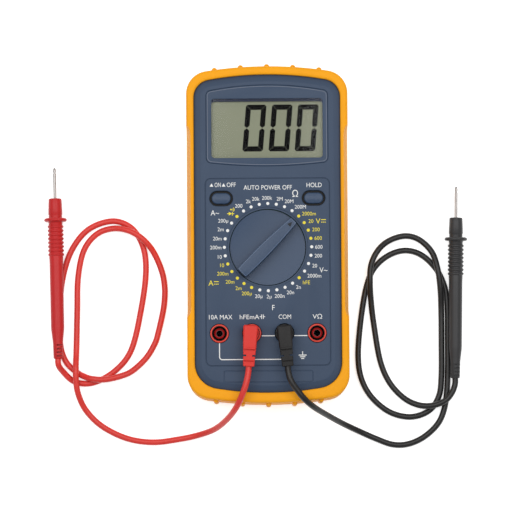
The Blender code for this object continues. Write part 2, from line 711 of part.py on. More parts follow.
def grip_wedge(side):
    """The sloping finger grip that is cut along one side of the lip."""
    inner = HOLSTER_HALF - GRIP_WIDTH
    outer = HOLSTER_HALF + OVERCUT
    wedge_angle = math.atan2(GRIP_HEIGHT, GRIP_WIDTH)
    lift = OVERCUT / math.tan(wedge_angle)
    section = [(inner - lift, LIP_Z + OVERCUT), (HOLSTER_HALF + lift, LIP_Z - GRIP_HEIGHT - OVERCUT),
               (outer + lift, LIP_Z - GRIP_HEIGHT - OVERCUT), (outer + lift, LIP_Z + OVERCUT)]
    wedge = slab([section], -GRIP_LENGTH / 2, GRIP_LENGTH / 2)
    bm = bmesh.new()
    bm.from_mesh(wedge)
    ends = [edge for edge in bm.edges
            if abs(edge.verts[0].co.z - edge.verts[1].co.z) < EMBED
            and all(vert.co.x < outer for vert in edge.verts)]
    bmesh.ops.bevel(bm, geom=ends, offset=GRIP_RUNOUT, segments=3, profile=0.5, affect="EDGES")
    bpy.data.meshes.remove(wedge)
    wedge = mesh_from(bm)
    wedge.transform(Matrix.Translation((0, GRIP_CENTRE, 0)) @ Matrix.Rotation(math.pi / 2, 4, "X"))
    if side < 0:
        wedge.transform(Matrix.Diagonal((-1, 1, 1, 1)))
        wedge.flip_normals()
    return wedge


def build_rear_case(finish, parent):
    rear = add_part("rear_case", slab([arched(CASE_OUTLINE)], CASE_BACK_Z, SEAM_Z), finish, parent)
    chamfer = slab([arched(CASE_OUTLINE)], CASE_BACK_Z, SEAM_Z - REAR_EDGE, slope=(REAR_EDGE, REAR_EDGE))
    middle = (CASE_BACK_Z + SEAM_Z) / 2
    combine(rear, add_cutter("rear_edge", flipped(chamfer, middle)), "INTERSECT")
    cut(rear, add_cutter("rear_hollow", slab([arched(CASE_OUTLINE, CASE_WALL)], FLOOR_Z, SEAM_Z + OVERCUT)))
    pocket_half = STAND_WIDTH / 2 + SLIDE
    pocket_bottom = STAND_FOOT_Y - SLIDE
    pocket_top = HINGE_Y + STAND_THICKNESS / 2 + SLIDE
    pocket_middle = (pocket_top + pocket_bottom) / 2
    pocket_length = pocket_top - pocket_bottom
    pivot_wall = PIVOT_LENGTH + POCKET_WALL
    platform = bar((2 * (pocket_half + pivot_wall), pocket_length + 2 * POCKET_WALL,
                    POCKET_Z + POCKET_WALL - FLOOR_Z + EMBED),
                   (0, pocket_middle, (POCKET_Z + POCKET_WALL + FLOOR_Z - EMBED) / 2))
    bosses = at_each(CASE_SCREW_SPOTS, lambda: rod(CASE_BOSS_RADIUS, FLOOR_Z - EMBED, SEAM_Z))
    join(rear, add_cutter("pocket_platform", platform), add_cutter("rear_bosses", bosses))
    pocket = slab([rounded(2 * pocket_half, pocket_length, EMBED, (0.0, pocket_middle), 1)],
                  CASE_BACK_Z - OVERCUT, POCKET_Z)
    pivots = moved(lay_along_x(rod(PIVOT_RADIUS + FIT, -pocket_half - PIVOT_LENGTH,
                                   pocket_half + PIVOT_LENGTH, SMALL_STEPS)), 0, HINGE_Y, HINGE_Z)
    cut(rear, add_cutter("stand_pocket", pocket), add_cutter("pivot_holes", pivots))
    opening_top = BATTERY_TOP_Y + BATTERY_PLAY
    opening_bottom = BATTERY_BOTTOM_Y - BATTERY_PLAY
    opening = slab([rounded(BATTERY_WIDTH + 2 * BATTERY_PLAY, opening_top - opening_bottom, COVER_CORNER,
                            (0.0, (opening_top + opening_bottom) / 2))],
                   CASE_BACK_Z - OVERCUT, FLOOR_Z + OVERCUT)
    recess = slab([cover_outline(FIT)], CASE_BACK_Z - OVERCUT, CASE_BACK_Z + COVER_THICKNESS + FIT)
    screw_hole = moved(rod(COVER_SCREW_RADIUS + FIT, CASE_BACK_Z, FLOOR_Z + OVERCUT, SMALL_STEPS),
                       0, cover_screw_y(), 0)
    cut(rear, add_cutter("battery_opening", opening), add_cutter("cover_recess", recess),
        add_cutter("cover_screw_hole", screw_hole))
    heads = at_each(CASE_SCREW_SPOTS, lambda: rod(
        CASE_SCREW_HEAD + FIT, CASE_BACK_Z - OVERCUT, CASE_BACK_Z + CASE_SCREW_HEAD_HEIGHT + 2 * FIT))
    shanks = at_each(CASE_SCREW_SPOTS, lambda: rod(
        CASE_SCREW_RADIUS + FIT, CASE_BACK_Z, SEAM_Z + OVERCUT, SMALL_STEPS))
    cut(rear, add_cutter("rear_screw_heads", heads), add_cutter("rear_screw_shanks", shanks))


def cover_outline(growth=0.0):
    """The battery cover, with the tongue that its screw goes through."""
    top = BATTERY_TOP_Y + BATTERY_PLAY + COVER_LEDGE
    bottom = BATTERY_BOTTOM_Y - BATTERY_PLAY - COVER_TONGUE
    width = BATTERY_WIDTH + 2 * (BATTERY_PLAY + COVER_LEDGE)
    return rounded(width + 2 * growth, top - bottom + 2 * growth, COVER_CORNER + growth,
                   (0.0, (top + bottom) / 2))


def cover_screw_y():
    return BATTERY_BOTTOM_Y - BATTERY_PLAY - COVER_TONGUE / 2


def build_front_case(finish, parent):
    front = add_part("front_case", slab([arched(CASE_OUTLINE)], SEAM_Z + FIT, LEDGE_Z), finish, parent)
    face = slab([arched(OPENING_OUTLINE, LIP_GAP)], LEDGE_Z - OVERCUT, LEDGE_Z + FACE_SKIRT,
                slope=(FACE_SLOPE, FACE_STEP - FACE_SKIRT))
    join(front, add_cutter("raised_face", face))
    lower = slab([arched(CASE_OUTLINE, CASE_WALL)], SEAM_Z - OVERCUT, LEDGE_Z - FACE_WALL)
    upper = slab([arched(OPENING_OUTLINE, LIP_GAP + FACE_SLOPE)], LEDGE_Z - FACE_WALL - EMBED, FACE_BACK_Z)
    cut(front, add_cutter("front_hollow", lower), add_cutter("face_hollow", upper))
    bosses = at_each(CASE_SCREW_SPOTS, lambda: rod(CASE_BOSS_RADIUS, SEAM_Z + FIT, LEDGE_Z - EMBED))
    posts = at_each(BOARD_SCREW_SPOTS, lambda: rod(
        BOARD_BOSS_RADIUS, BOARD_TOP_Z + FIT, FACE_BACK_Z + EMBED))
    ring_inner = KNOB_RADIUS + KNOB_FLANGE + BALL_PROUD + SLIDE
    notches = scalloped(ring_inner, DETENT_DEPTH, DETENT_COUNT)
    ring = slab([circle(ring_inner + DETENT_DEPTH + DETENT_RING_WALL, KNOB_STEPS), notches],
                FACE_BACK_Z - DETENT_RING_HEIGHT, FACE_BACK_Z + EMBED)
    join(front, add_cutter("front_bosses", bosses), add_cutter("board_posts", posts),
         add_cutter("detent_ring", moved(ring, 0, KNOB_Y, 0)))
    cut(front, *face_cutters())
    bores = at_each(CASE_SCREW_SPOTS, lambda: rod(
        CASE_SCREW_RADIUS + FIT, SEAM_Z - OVERCUT, SEAM_Z + FIT + CASE_SCREW_BITE + FIT, SMALL_STEPS))
    post_bores = at_each(BOARD_SCREW_SPOTS, lambda: rod(
        BOARD_SCREW_RADIUS + FIT, BOARD_TOP_Z - OVERCUT, BOARD_TOP_Z + BOARD_SCREW_BITE + FIT, SMALL_STEPS))
    cut(front, add_cutter("front_screw_bores", bores), add_cutter("board_screw_bores", post_bores))


def face_cutters():
    """Everything that is cut into the face of the case."""
    seat = slab([arched(WINDOW_OUTLINE, -FIT)], FACE_Z - WINDOW_THICKNESS - FIT, FACE_Z + OVERCUT)
    view = slab([rounded(VIEW_WIDTH, VIEW_LENGTH, VIEW_CORNER, (0.0, VIEW_Y))],
                FACE_BACK_Z - OVERCUT, FACE_Z)
    knob_hole = moved(rod(KNOB_RADIUS + KNOB_GAP, FACE_BACK_Z - OVERCUT, FACE_Z + OVERCUT, KNOB_STEPS),
                      0, KNOB_Y, 0)
    knob_step = moved(rod(KNOB_RADIUS + KNOB_GAP + KNOB_STEP_WIDTH, FACE_Z - KNOB_STEP_DEPTH,
                          FACE_Z + OVERCUT, KNOB_STEPS), 0, KNOB_Y, 0)
    sockets = at_each([(x, SOCKET_Y) for x in SOCKET_XS], lambda: rod(
        SOCKET_RADIUS + FIT, FACE_BACK_Z - OVERCUT, FACE_Z + OVERCUT))
    opening_size = (BUTTON_LENGTH + 2 * BUTTON_GAP, BUTTON_WIDTH + 2 * BUTTON_GAP)
    rim_slope = BUTTON_CHAMFER + EMBED      # the slope runs on past the face
    rim_size = [side + 2 * rim_slope for side in opening_size]
    spots = [(x, BUTTON_Y) for x in BUTTON_XS]
    buttons = at_each(spots, lambda: slab(
        [stadium(*opening_size)], FACE_BACK_Z - OVERCUT, FACE_Z + OVERCUT))
    rims = at_each(spots, lambda: flipped(slab(
        [stadium(*rim_size)], FACE_Z - OVERCUT, FACE_Z - EMBED, slope=(rim_slope, rim_slope)), FACE_Z))
    panel_width = 2 * (HOLSTER_HALF - LIP_SIDE - PANEL_MARGIN)
    panel_length = PANEL_TOP_Y - PANEL_BOTTOM_Y
    panel_middle = (0.0, (PANEL_TOP_Y + PANEL_BOTTOM_Y) / 2)
    groove_floor = FACE_Z - GROOVE_DEPTH
    panel_groove = slab([
        rounded(panel_width + GROOVE_WIDTH, panel_length + GROOVE_WIDTH, PANEL_CORNER + GROOVE_WIDTH / 2,
                panel_middle),
        rounded(panel_width - GROOVE_WIDTH, panel_length - GROOVE_WIDTH, PANEL_CORNER - GROOVE_WIDTH / 2,
                panel_middle)], groove_floor, FACE_Z + OVERCUT)
    plate_groove = slab([
        rounded(PLATE_LENGTH + GROOVE_WIDTH, PLATE_HEIGHT + GROOVE_WIDTH, PLATE_CORNER + GROOVE_WIDTH / 2,
                (0.0, PLATE_Y), 2),
        rounded(PLATE_LENGTH - GROOVE_WIDTH, PLATE_HEIGHT - GROOVE_WIDTH, PLATE_CORNER - GROOVE_WIDTH / 2,
                (0.0, PLATE_Y), 2)], groove_floor, FACE_Z + OVERCUT)
    return [add_cutter("window_seat", seat), add_cutter("view_opening", view),
            add_cutter("knob_hole", knob_hole), add_cutter("knob_step", knob_step),
            add_cutter("socket_holes", sockets), add_cutter("button_holes", buttons),
            add_cutter("button_rims", rims), add_cutter("panel_groove", panel_groove),
            add_cutter("plate_groove", plate_groove)]


# Display

def build_display(finishes, parent):
    add_part("display_window", slab([arched(WINDOW_OUTLINE)], FACE_Z - WINDOW_THICKNESS, FACE_Z),
             finishes["window"], parent)
    lcd_top = FACE_BACK_Z - FIT
    lcd_bottom = lcd_top - LCD_THICKNESS
    lcd = bar((LCD_WIDTH, LCD_LENGTH, LCD_THICKNESS), (0, VIEW_Y, (lcd_top + lcd_bottom) / 2))
    add_part("lcd_panel", lcd, finishes["lcd"], parent)
    inner = (LCD_WIDTH + 2 * FIT, LCD_LENGTH + 2 * FIT)
    outer = [side + 2 * LCD_FRAME_WALL for side in inner]
    ledge = [side - 2 * LCD_LEDGE_WIDTH for side in inner]
    middle = (0.0, VIEW_Y)
    walls = slab([rounded(*outer, LCD_FRAME_WALL, middle)], BOARD_TOP_Z + FIT, lcd_top)
    frame = add_part("lcd_frame", walls, finishes["inner_plastic"], parent)
    well = bar((*inner, LCD_THICKNESS + FIT + OVERCUT),
               (0, VIEW_Y, (lcd_bottom - FIT + lcd_top + OVERCUT) / 2))
    lower_well = bar((*inner, DIAL_SPACE),
                     (0, VIEW_Y, lcd_bottom - FIT - LCD_LEDGE - DIAL_SPACE / 2))
    eye = bar((*ledge, DIAL_SPACE * 2), (0, VIEW_Y, lcd_bottom))
    cut(frame, add_cutter("lcd_well", well), add_cutter("strip_well", lower_well),
        add_cutter("lcd_eye", eye))
    strip_height = lcd_bottom - BOARD_TOP_Z - 2 * FIT
    strip_y = LCD_LENGTH / 2 - LCD_LEDGE_WIDTH - FIT - STRIP_WIDTH / 2
    for side, label in ((1, "upper"), (-1, "lower")):
        add_part("zebra_strip_" + label,
                 bar((LCD_WIDTH - 2 * STRIP_MARGIN, STRIP_WIDTH, strip_height),
                     (0, VIEW_Y + side * strip_y, BOARD_TOP_Z + FIT + strip_height / 2)),
                 finishes["elastomer"], parent)


# Selector

def build_selector(finishes, axis):
    """The knob and what turns with it, made about the selector's axis at Z = 0 of the table."""
    back = BOARD_TOP_Z + WIPER_SPACE
    flange_top = FACE_BACK_Z - FIT
    top = FACE_Z + KNOB_RISE
    flange_radius = KNOB_RADIUS + KNOB_FLANGE
    profile = [(0.0, top), (KNOB_RADIUS - KNOB_EDGE, top), (KNOB_RADIUS, top - KNOB_EDGE),
               (KNOB_RADIUS, flange_top), (flange_radius, flange_top), (flange_radius, back), (0.0, back)]
    knob_mesh = turned(profile, KNOB_STEPS)
    knob = add_part("selector_knob", knob_mesh, finishes["case"], axis)
    for side, label in ((-1, "left"), (1, "right")):
        scoop = rod(SCOOP_RADIUS, -KNOB_RADIUS * 2, KNOB_RADIUS * 2, 48)
        scoop.transform(Matrix.Rotation(math.pi / 2, 4, "X"))
        cut(knob, add_cutter("scoop_" + label, scoop, axis,
                             (side * SCOOP_OFFSET, 0.0, top - SCOOP_DEPTH + SCOOP_RADIUS)))
    join(knob, grip_bar(axis, top))
    ball_z = FACE_BACK_Z - FIT - DETENT_RING_HEIGHT / 2
    ball_reach = flange_radius + BALL_PROUD - BALL_RADIUS
    spring_end = ball_reach - BALL_RADIUS - FIT
    pocket_depth = spring_end - SPRING_LENGTH - FIT
    for side, label in ((1, "1"), (-1, "2")):
        pocket = lay_along_x(rod(BALL_RADIUS + FIT, pocket_depth, flange_radius + OVERCUT, SMALL_STEPS))
        turn = (0.0, 0.0, -KNOB_REST_ANGLE + (0.0 if side > 0 else math.pi))
        cut(knob, add_cutter("ball_pocket_" + label, pocket, axis, (0.0, 0.0, ball_z), turn))
        bm = bmesh.new()
        bmesh.ops.create_uvsphere(bm, u_segments=12, v_segments=8, radius=BALL_RADIUS,
                                  matrix=Matrix.Translation((ball_reach, 0, 0)))
        add_part("detent_ball_" + label, mesh_from(bm), finishes["steel"], axis, (0.0, 0.0, ball_z), turn)
        coil = coil_curve("detent_spring_" + label, spring_end - SPRING_LENGTH, SPRING_LENGTH)
        add_part(coil.name, coil, finishes["steel"], axis, (0.0, 0.0, ball_z), turn)
    build_wipers(finishes["brass"], axis, back)


def grip_bar(axis, top):
    """The tapered pointer bar across the knob, tip at +Y."""
    tip_half = GRIP_BAR_TIP / 2 + GRIP_BAR_DRAFT
    tail_half = GRIP_BAR_TAIL / 2 + GRIP_BAR_DRAFT
    reach = KNOB_RADIUS - GRIP_BAR_MARGIN + GRIP_BAR_DRAFT
    tip_y = math.sqrt(reach ** 2 - tip_half ** 2)
    tail_y = -math.sqrt(reach ** 2 - tail_half ** 2)
    outline = [(tip_half, tip_y), (-tip_half, tip_y), (-tail_half, tail_y), (tail_half, tail_y)]
    base = top - SCOOP_DEPTH
    mesh = slab([outline], base - OVERCUT, base + EMBED,
                slope=(GRIP_BAR_DRAFT, GRIP_BAR_RISE + SCOOP_DEPTH))
    made = add_cutter("grip_bar", mesh, axis)
    round_edges(made, GRIP_BAR_EDGE, segments=1)
    return made


def coil_curve(name, start, length):
    """A compression spring along X."""
    per_turn = 8
    count = SPRING_TURNS * per_turn
    points = []
    for i in range(count + 1):
        angle = 2 * math.pi * i / per_turn
        along = start + SPRING_WIRE + (length - 2 * SPRING_WIRE) * i / count
        points.append((along, SPRING_RADIUS * math.cos(angle), SPRING_RADIUS * math.sin(angle)))
    return tube_curve(name, points, SPRING_WIRE, 0)


def build_wipers(finish, axis, back):
    """Bowed contact strips under the knob, whose middles ride on the board."""
    sag = WIPER_SPACE - 2 * FIT - WIPER_THICKNESS
    bow_radius = (WIPER_LENGTH ** 2 / 4 + sag ** 2) / (2 * sag)
    half_angle = math.asin(WIPER_LENGTH / 2 / bow_radius)
    down = -math.pi / 2
    outer = arc((0, bow_radius), bow_radius, down - half_angle, down + half_angle, 8)
    inner = arc((0, bow_radius), bow_radius - WIPER_THICKNESS, down + half_angle, down - half_angle, 8)
    for i in range(WIPER_COUNT):
        strip = slab([outer + inner], -WIPER_WIDTH / 2, WIPER_WIDTH / 2)
        strip.transform(Matrix.Rotation(math.pi / 2, 4, "X"))
        angle = 2 * math.pi * i / WIPER_COUNT
        place = (WIPER_RADIUS * math.sin(angle), WIPER_RADIUS * math.cos(angle), BOARD_TOP_Z + FIT)
        add_part(f"wiper_contact_{i + 1}", strip, finish, axis, place, (0.0, 0.0, -angle))


# Buttons

def build_button(name, switch_name, finishes, axis, parent):
    """A push button made about its own axis, and the switch that it works."""
    top = FACE_Z + BUTTON_RISE
    flange_top = FACE_BACK_Z - FIT
    flange_bottom = flange_top - BUTTON_FLANGE_HEIGHT
    switch_top = flange_bottom - BUTTON_TRAVEL - 2 * FIT
    button = add_part(name, slab([stadium(BUTTON_LENGTH, BUTTON_WIDTH)], flange_bottom, top),
                      finishes["case"], axis)
    round_edges(button, BUTTON_EDGE)
    growth = 2 * (BUTTON_GAP + BUTTON_FLANGE)
    flange_size = (BUTTON_LENGTH + growth, BUTTON_WIDTH + growth)
    flange = slab([stadium(*flange_size)], flange_bottom - EMBED, flange_top)
    stem = rod(STEM_RADIUS, switch_top + FIT, flange_bottom + EMBED, SMALL_STEPS)
    join(button, add_cutter(name + "_flange", flange, axis), add_cutter(name + "_stem", stem, axis))
    x = axis.location.x
    switch = add_part(switch_name, bar((SWITCH_SIDE, SWITCH_SIDE, switch_top - BOARD_TOP_Z - FIT),
                                       (0, 0, (switch_top + BOARD_TOP_Z + FIT) / 2)),
                      finishes["inner_plastic"], parent, (x, BUTTON_Y, 0.0))
    well = rod(STEM_RADIUS + SLIDE, BOARD_TOP_Z + FIT + SWITCH_FLOOR, switch_top + OVERCUT, SMALL_STEPS)
    cut(switch, add_cutter(switch_name + "_well", well, None, (x, BUTTON_Y, 0.0)))


# Sockets and plugs

def build_sockets(finishes, parent):
    top = FACE_Z + SOCKET_RISE
    bottom = top - SOCKET_DEPTH
    ring = SOCKET_RADIUS - SOCKET_RING
    tube = ring - SHROUD_SLOT
    bore = tube - INNER_TUBE_WALL
    flange_top = FACE_BACK_Z - FIT
    slot_floor = top - SHROUD_DEPTH
    tube_top = top - INNER_TUBE_DROP
    floor = bottom + SOCKET_FLOOR
    flange = SOCKET_RADIUS + SOCKET_FLANGE
    profile = [(0.0, floor), (bore, floor), (bore, tube_top), (tube, tube_top), (tube, slot_floor),
               (ring, slot_floor), (ring, top), (SOCKET_RADIUS, top), (SOCKET_RADIUS, flange_top),
               (flange, flange_top), (flange, flange_top - SOCKET_FLANGE_HEIGHT),
               (SOCKET_RADIUS, flange_top - SOCKET_FLANGE_HEIGHT), (SOCKET_RADIUS, bottom), (0.0, bottom)]
    outer = bore - FIT
    sleeve = [(outer - CONTACT_WALL, tube_top - FIT), (outer, tube_top - FIT), (outer, floor + FIT),
              (outer - CONTACT_WALL, floor + FIT)]
    names = ("10a", "ma", "com", "volt")
    colours = ("red", "red", "black", "red")
    for name, colour, x in zip(names, colours, SOCKET_XS):
        add_part("socket_" + name, turned(profile, ROUND_STEPS), finishes["socket_" + colour], parent,
                 (x, SOCKET_Y, 0.0))
        add_part("contact_" + name, turned(sleeve, ROUND_STEPS, closed=True), finishes["brass"], parent,
                 (x, SOCKET_Y, 0.0))


def plug_levels():
    bottom = FACE_Z + SOCKET_RISE + PLUG_GAP
    top = bottom + PLUG_HEIGHT
    return bottom, top, top - PLUG_TAIL_HEIGHT / 2


def build_plug(lead, finishes, axis):
    """A right-angled moulded plug, made about its pin with the cord leaving along -Y."""
    colour, shift = lead.colour, lead.plug_shift
    bottom, top, cord_z = plug_levels()
    tail_bottom = top - PLUG_TAIL_HEIGHT
    block_outline = [(PLUG_WIDTH / 2, PLUG_FRONT), (-PLUG_WIDTH / 2, PLUG_FRONT),
                     (-PLUG_WAIST / 2, -PLUG_BLOCK), (PLUG_WAIST / 2, -PLUG_BLOCK)]
    block = moved(slab([block_outline], bottom, top), shift, 0, 0)
    plug = add_part(colour + "_plug", block, finishes[colour + "_rubber"], axis)
    round_edges(plug, PLUG_EDGE)
    tail_outline = [(PLUG_WAIST / 2, -PLUG_BLOCK + PLUG_EDGE), (-PLUG_WAIST / 2, -PLUG_BLOCK + PLUG_EDGE),
                    (-PLUG_TAIL / 2, -PLUG_END), (PLUG_TAIL / 2, -PLUG_END)]
    tail_mesh = moved(slab([tail_outline], tail_bottom, top - EMBED), shift, 0, 0)
    tail = add_cutter(colour + "_plug_tail", tail_mesh, axis)
    round_edges(tail, PLUG_EDGE / 2, segments=1)
    join(plug, tail)
    room = PLUG_WIDTH * 2
    for i in range(3):
        y = -PLUG_BLOCK - PLUG_SLOT - i * PLUG_SLOT_STEP
        across = i % 2 == 1
        for side in (-1, 1):
            reach = side * (PLUG_CORE + room) / 2
            size = (room, PLUG_SLOT, room)
            place = (shift + reach, y, cord_z) if across else (shift, y, cord_z + reach)
            cut(plug, add_cutter(f"{colour}_plug_slot_{i}_{side}", bar(size, place), axis))
    ring = SOCKET_RADIUS - SOCKET_RING
    shroud_outer = ring - (SHROUD_SLOT - SHROUD_WALL) / 2
    shroud_end = FACE_Z + SOCKET_RISE - SHROUD_DEPTH + OVERCUT
    shroud = turned([(shroud_outer - SHROUD_WALL, bottom + OVERCUT), (shroud_outer, bottom + OVERCUT),
                     (shroud_outer, shroud_end), (shroud_outer - SHROUD_WALL, shroud_end)],
                    ROUND_STEPS, closed=True)
    join(plug, add_cutter(colour + "_plug_shroud", shroud, axis))
    root = bottom + PIN_ROOT
    cut(plug, add_cutter(colour + "_pin_seat", rod(PIN_RADIUS + FIT, bottom - OVERCUT, root + FIT), axis))
    pin_tip = bottom - PIN_LENGTH
    pin = [(0.0, root), (PIN_RADIUS, root), (PIN_RADIUS, pin_tip + PIN_RADIUS / 2),
           (PIN_RADIUS / 2, pin_tip), (0.0, pin_tip)]
    add_part(colour + "_plug_pin", turned(pin, SMALL_STEPS), finishes["nickel"], axis)


# Board, battery and fuses

def build_board(finishes, parent):
    plate = slab([arched(CASE_OUTLINE, CASE_WALL + BOARD_INSET)], BOARD_Z, BOARD_TOP_Z)
    board = add_part("circuit_board", plate, finishes["board"], parent)
    low = BOARD_Z - OVERCUT
    high = BOARD_TOP_Z + OVERCUT
    sockets = at_each([(x, SOCKET_Y) for x in SOCKET_XS], lambda: rod(SOCKET_RADIUS + SLIDE, low, high))
    bosses = at_each(CASE_SCREW_SPOTS, lambda: rod(CASE_BOSS_RADIUS + SLIDE, low, high))
    screws = at_each(BOARD_SCREW_SPOTS, lambda: rod(BOARD_SCREW_RADIUS + FIT, low, high, SMALL_STEPS))
    cut(board, add_cutter("board_socket_holes", sockets), add_cutter("board_boss_holes", bosses),
        add_cutter("board_screw_holes", screws))
    chip_z = BOARD_Z - FIT - CHIP_HEIGHT / 2
    chip = add_part("main_chip", bar((CHIP_SIDE, CHIP_SIDE, CHIP_HEIGHT)), finishes["chip"], parent,
                    (0.0, VIEW_Y, chip_z))
    round_edges(chip, CHIP_HEIGHT / 6, segments=1)
    buzzer_top = BOARD_Z - FIT
    buzzer = [(0.0, buzzer_top), (BUZZER_RADIUS, buzzer_top), (BUZZER_RADIUS, buzzer_top - BUZZER_HEIGHT),
              (0.0, buzzer_top - BUZZER_HEIGHT)]
    add_part("buzzer", turned(buzzer, ROUND_STEPS), finishes["brass"], parent,
             (BUTTON_SPACING / 2, BUTTON_Y, 0.0))
    shunt_y = SOCKET_Y - SHUNT_BELOW_SOCKETS
    shunt_top = BOARD_Z - FIT
    bend = SHUNT_RADIUS * 3
    left = [(-SHUNT_SPAN / 2, shunt_top)]
    left += arc((-SHUNT_SPAN / 2 + bend, shunt_top - SHUNT_DROP + bend), bend, math.pi, 1.5 * math.pi, 4)
    route = left + [(-x, z) for x, z in reversed(left)]
    shunt = tube_curve("shunt_wire", [(x, 0.0, z) for x, z in route], SHUNT_RADIUS, 1)
    add_part("shunt_wire", shunt, finishes["copper"], parent,
             ((SOCKET_XS[0] + SOCKET_XS[2]) / 2, shunt_y, 0.0))


def build_battery(finishes, parent):
    middle_y = (BATTERY_TOP_Y + BATTERY_BOTTOM_Y) / 2
    battery = add_part("battery", bar((BATTERY_WIDTH, BATTERY_LENGTH, BATTERY_HEIGHT)),
                       finishes["battery"], parent, (0.0, middle_y, BATTERY_Z + BATTERY_HEIGHT / 2))
    round_edges(battery, BATTERY_EDGE, segments=2)
    snap_z = max(FLOOR_Z + FIT, BATTERY_Z)
    snap_height = BATTERY_Z + BATTERY_HEIGHT - snap_z
    snap = add_part("battery_snap", bar((BATTERY_WIDTH - 2 * BATTERY_EDGE, SNAP_THICKNESS, snap_height)),
                    finishes["inner_plastic"], parent,
                    (0.0, BATTERY_TOP_Y + FIT + SNAP_THICKNESS / 2, snap_z + snap_height / 2))
    round_edges(snap, SNAP_THICKNESS / 5, segments=1)
    cover = add_part("battery_cover", slab([cover_outline()], CASE_BACK_Z, CASE_BACK_Z + COVER_THICKNESS),
                     finishes["case"], parent)
    hole = rod(COVER_SCREW_RADIUS + FIT, CASE_BACK_Z - OVERCUT, FLOOR_Z, SMALL_STEPS)
    sink = rod(COVER_SCREW_HEAD + FIT, CASE_BACK_Z - OVERCUT, CASE_BACK_Z + COVER_THICKNESS / 2,
               SMALL_STEPS)
    cut(cover, add_cutter("cover_hole", moved(hole, 0, cover_screw_y(), 0)),
        add_cutter("cover_sink", moved(sink, 0, cover_screw_y(), 0)))
    head = CASE_BACK_Z + FIT / 2
    seat = CASE_BACK_Z + COVER_THICKNESS / 2 - FIT
    screw = [(0.0, head + COVER_SCREW_LENGTH), (COVER_SCREW_RADIUS, head + COVER_SCREW_LENGTH),
             (COVER_SCREW_RADIUS, seat), (COVER_SCREW_HEAD, seat), (COVER_SCREW_HEAD, head), (0.0, head)]
    add_part("battery_cover_screw", turned(screw, SMALL_STEPS), finishes["steel"], parent,
             (0.0, cover_screw_y(), 0.0))


def build_fuses(finishes, parent):
    half = FUSE_LENGTH / 2
    body = [(0.0, half), (FUSE_RADIUS, half), (FUSE_RADIUS, half - FUSE_CAP),
            (FUSE_RADIUS - FUSE_WAIST, half - FUSE_CAP), (FUSE_RADIUS - FUSE_WAIST, FUSE_CAP - half),
            (FUSE_RADIUS, FUSE_CAP - half), (FUSE_RADIUS, -half), (0.0, -half)]
    grip = FUSE_RADIUS + FIT
    shell = grip + CLIP_WALL
    for side, label in ((-1, "10a"), (1, "ma")):
        x = side * FUSE_SPACING / 2
        add_part("fuse_" + label, lay_along_x(turned(body, SMALL_STEPS)), finishes["fuse"], parent,
                 (x, FUSE_Y, FUSE_Z))
        for end, end_label in ((-1, "left"), (1, "right")):
            jaw = arc((0, 0), shell, -0.2 * math.pi, 1.2 * math.pi, 12)
            jaw += arc((0, 0), grip, 1.2 * math.pi, -0.2 * math.pi, 12)
            jaws = stand_up(slab([jaw], -CLIP_LENGTH / 2, CLIP_LENGTH / 2))
            clip = add_part(f"fuse_clip_{label}_{end_label}", jaws, finishes["brass"], parent,
                            (x + end * (half - FUSE_CAP / 2), FUSE_Y, FUSE_Z))
            foot_bottom = shell - CLIP_WALL / 2
            foot_top = BOARD_Z - FIT - FUSE_Z
            foot = bar((CLIP_LENGTH, shell, foot_top - foot_bottom), (0, 0, (foot_top + foot_bottom) / 2))
            join(clip, add_cutter(clip.name + "_foot", foot, None, tuple(clip.location)))


def stand_up(mesh):
    """Turns an outline drawn in X and Y so that it stands in Y and Z."""
    mesh.transform(Matrix.Rotation(math.pi / 2, 4, "Z") @ Matrix.Rotation(math.pi / 2, 4, "X"))
    return mesh


def build_screws(finishes, parent):
    head = CASE_BACK_Z + FIT
    seat = head + CASE_SCREW_HEAD_HEIGHT
    tip = SEAM_Z + FIT + CASE_SCREW_BITE
    case_screw = [(0.0, tip), (CASE_SCREW_RADIUS, tip), (CASE_SCREW_RADIUS, seat), (CASE_SCREW_HEAD, seat),
                  (CASE_SCREW_HEAD, head), (0.0, head)]
    for i, (x, y) in enumerate(CASE_SCREW_SPOTS):
        add_part(f"case_screw_{i + 1}", turned(case_screw, SMALL_STEPS), finishes["steel"], parent,
                 (x, y, 0.0))
    seat = BOARD_Z - FIT
    head = seat - BOARD_SCREW_HEAD_HEIGHT
    tip = BOARD_TOP_Z + BOARD_SCREW_BITE
    board_screw = [(0.0, tip), (BOARD_SCREW_RADIUS, tip), (BOARD_SCREW_RADIUS, seat),
                   (BOARD_SCREW_HEAD, seat), (BOARD_SCREW_HEAD, head), (0.0, head)]
    for i, (x, y) in enumerate(BOARD_SCREW_SPOTS):
        add_part(f"board_screw_{i + 1}", turned(board_screw, SMALL_STEPS), finishes["steel"], parent,
                 (x, y, 0.0))


# Tilt stand

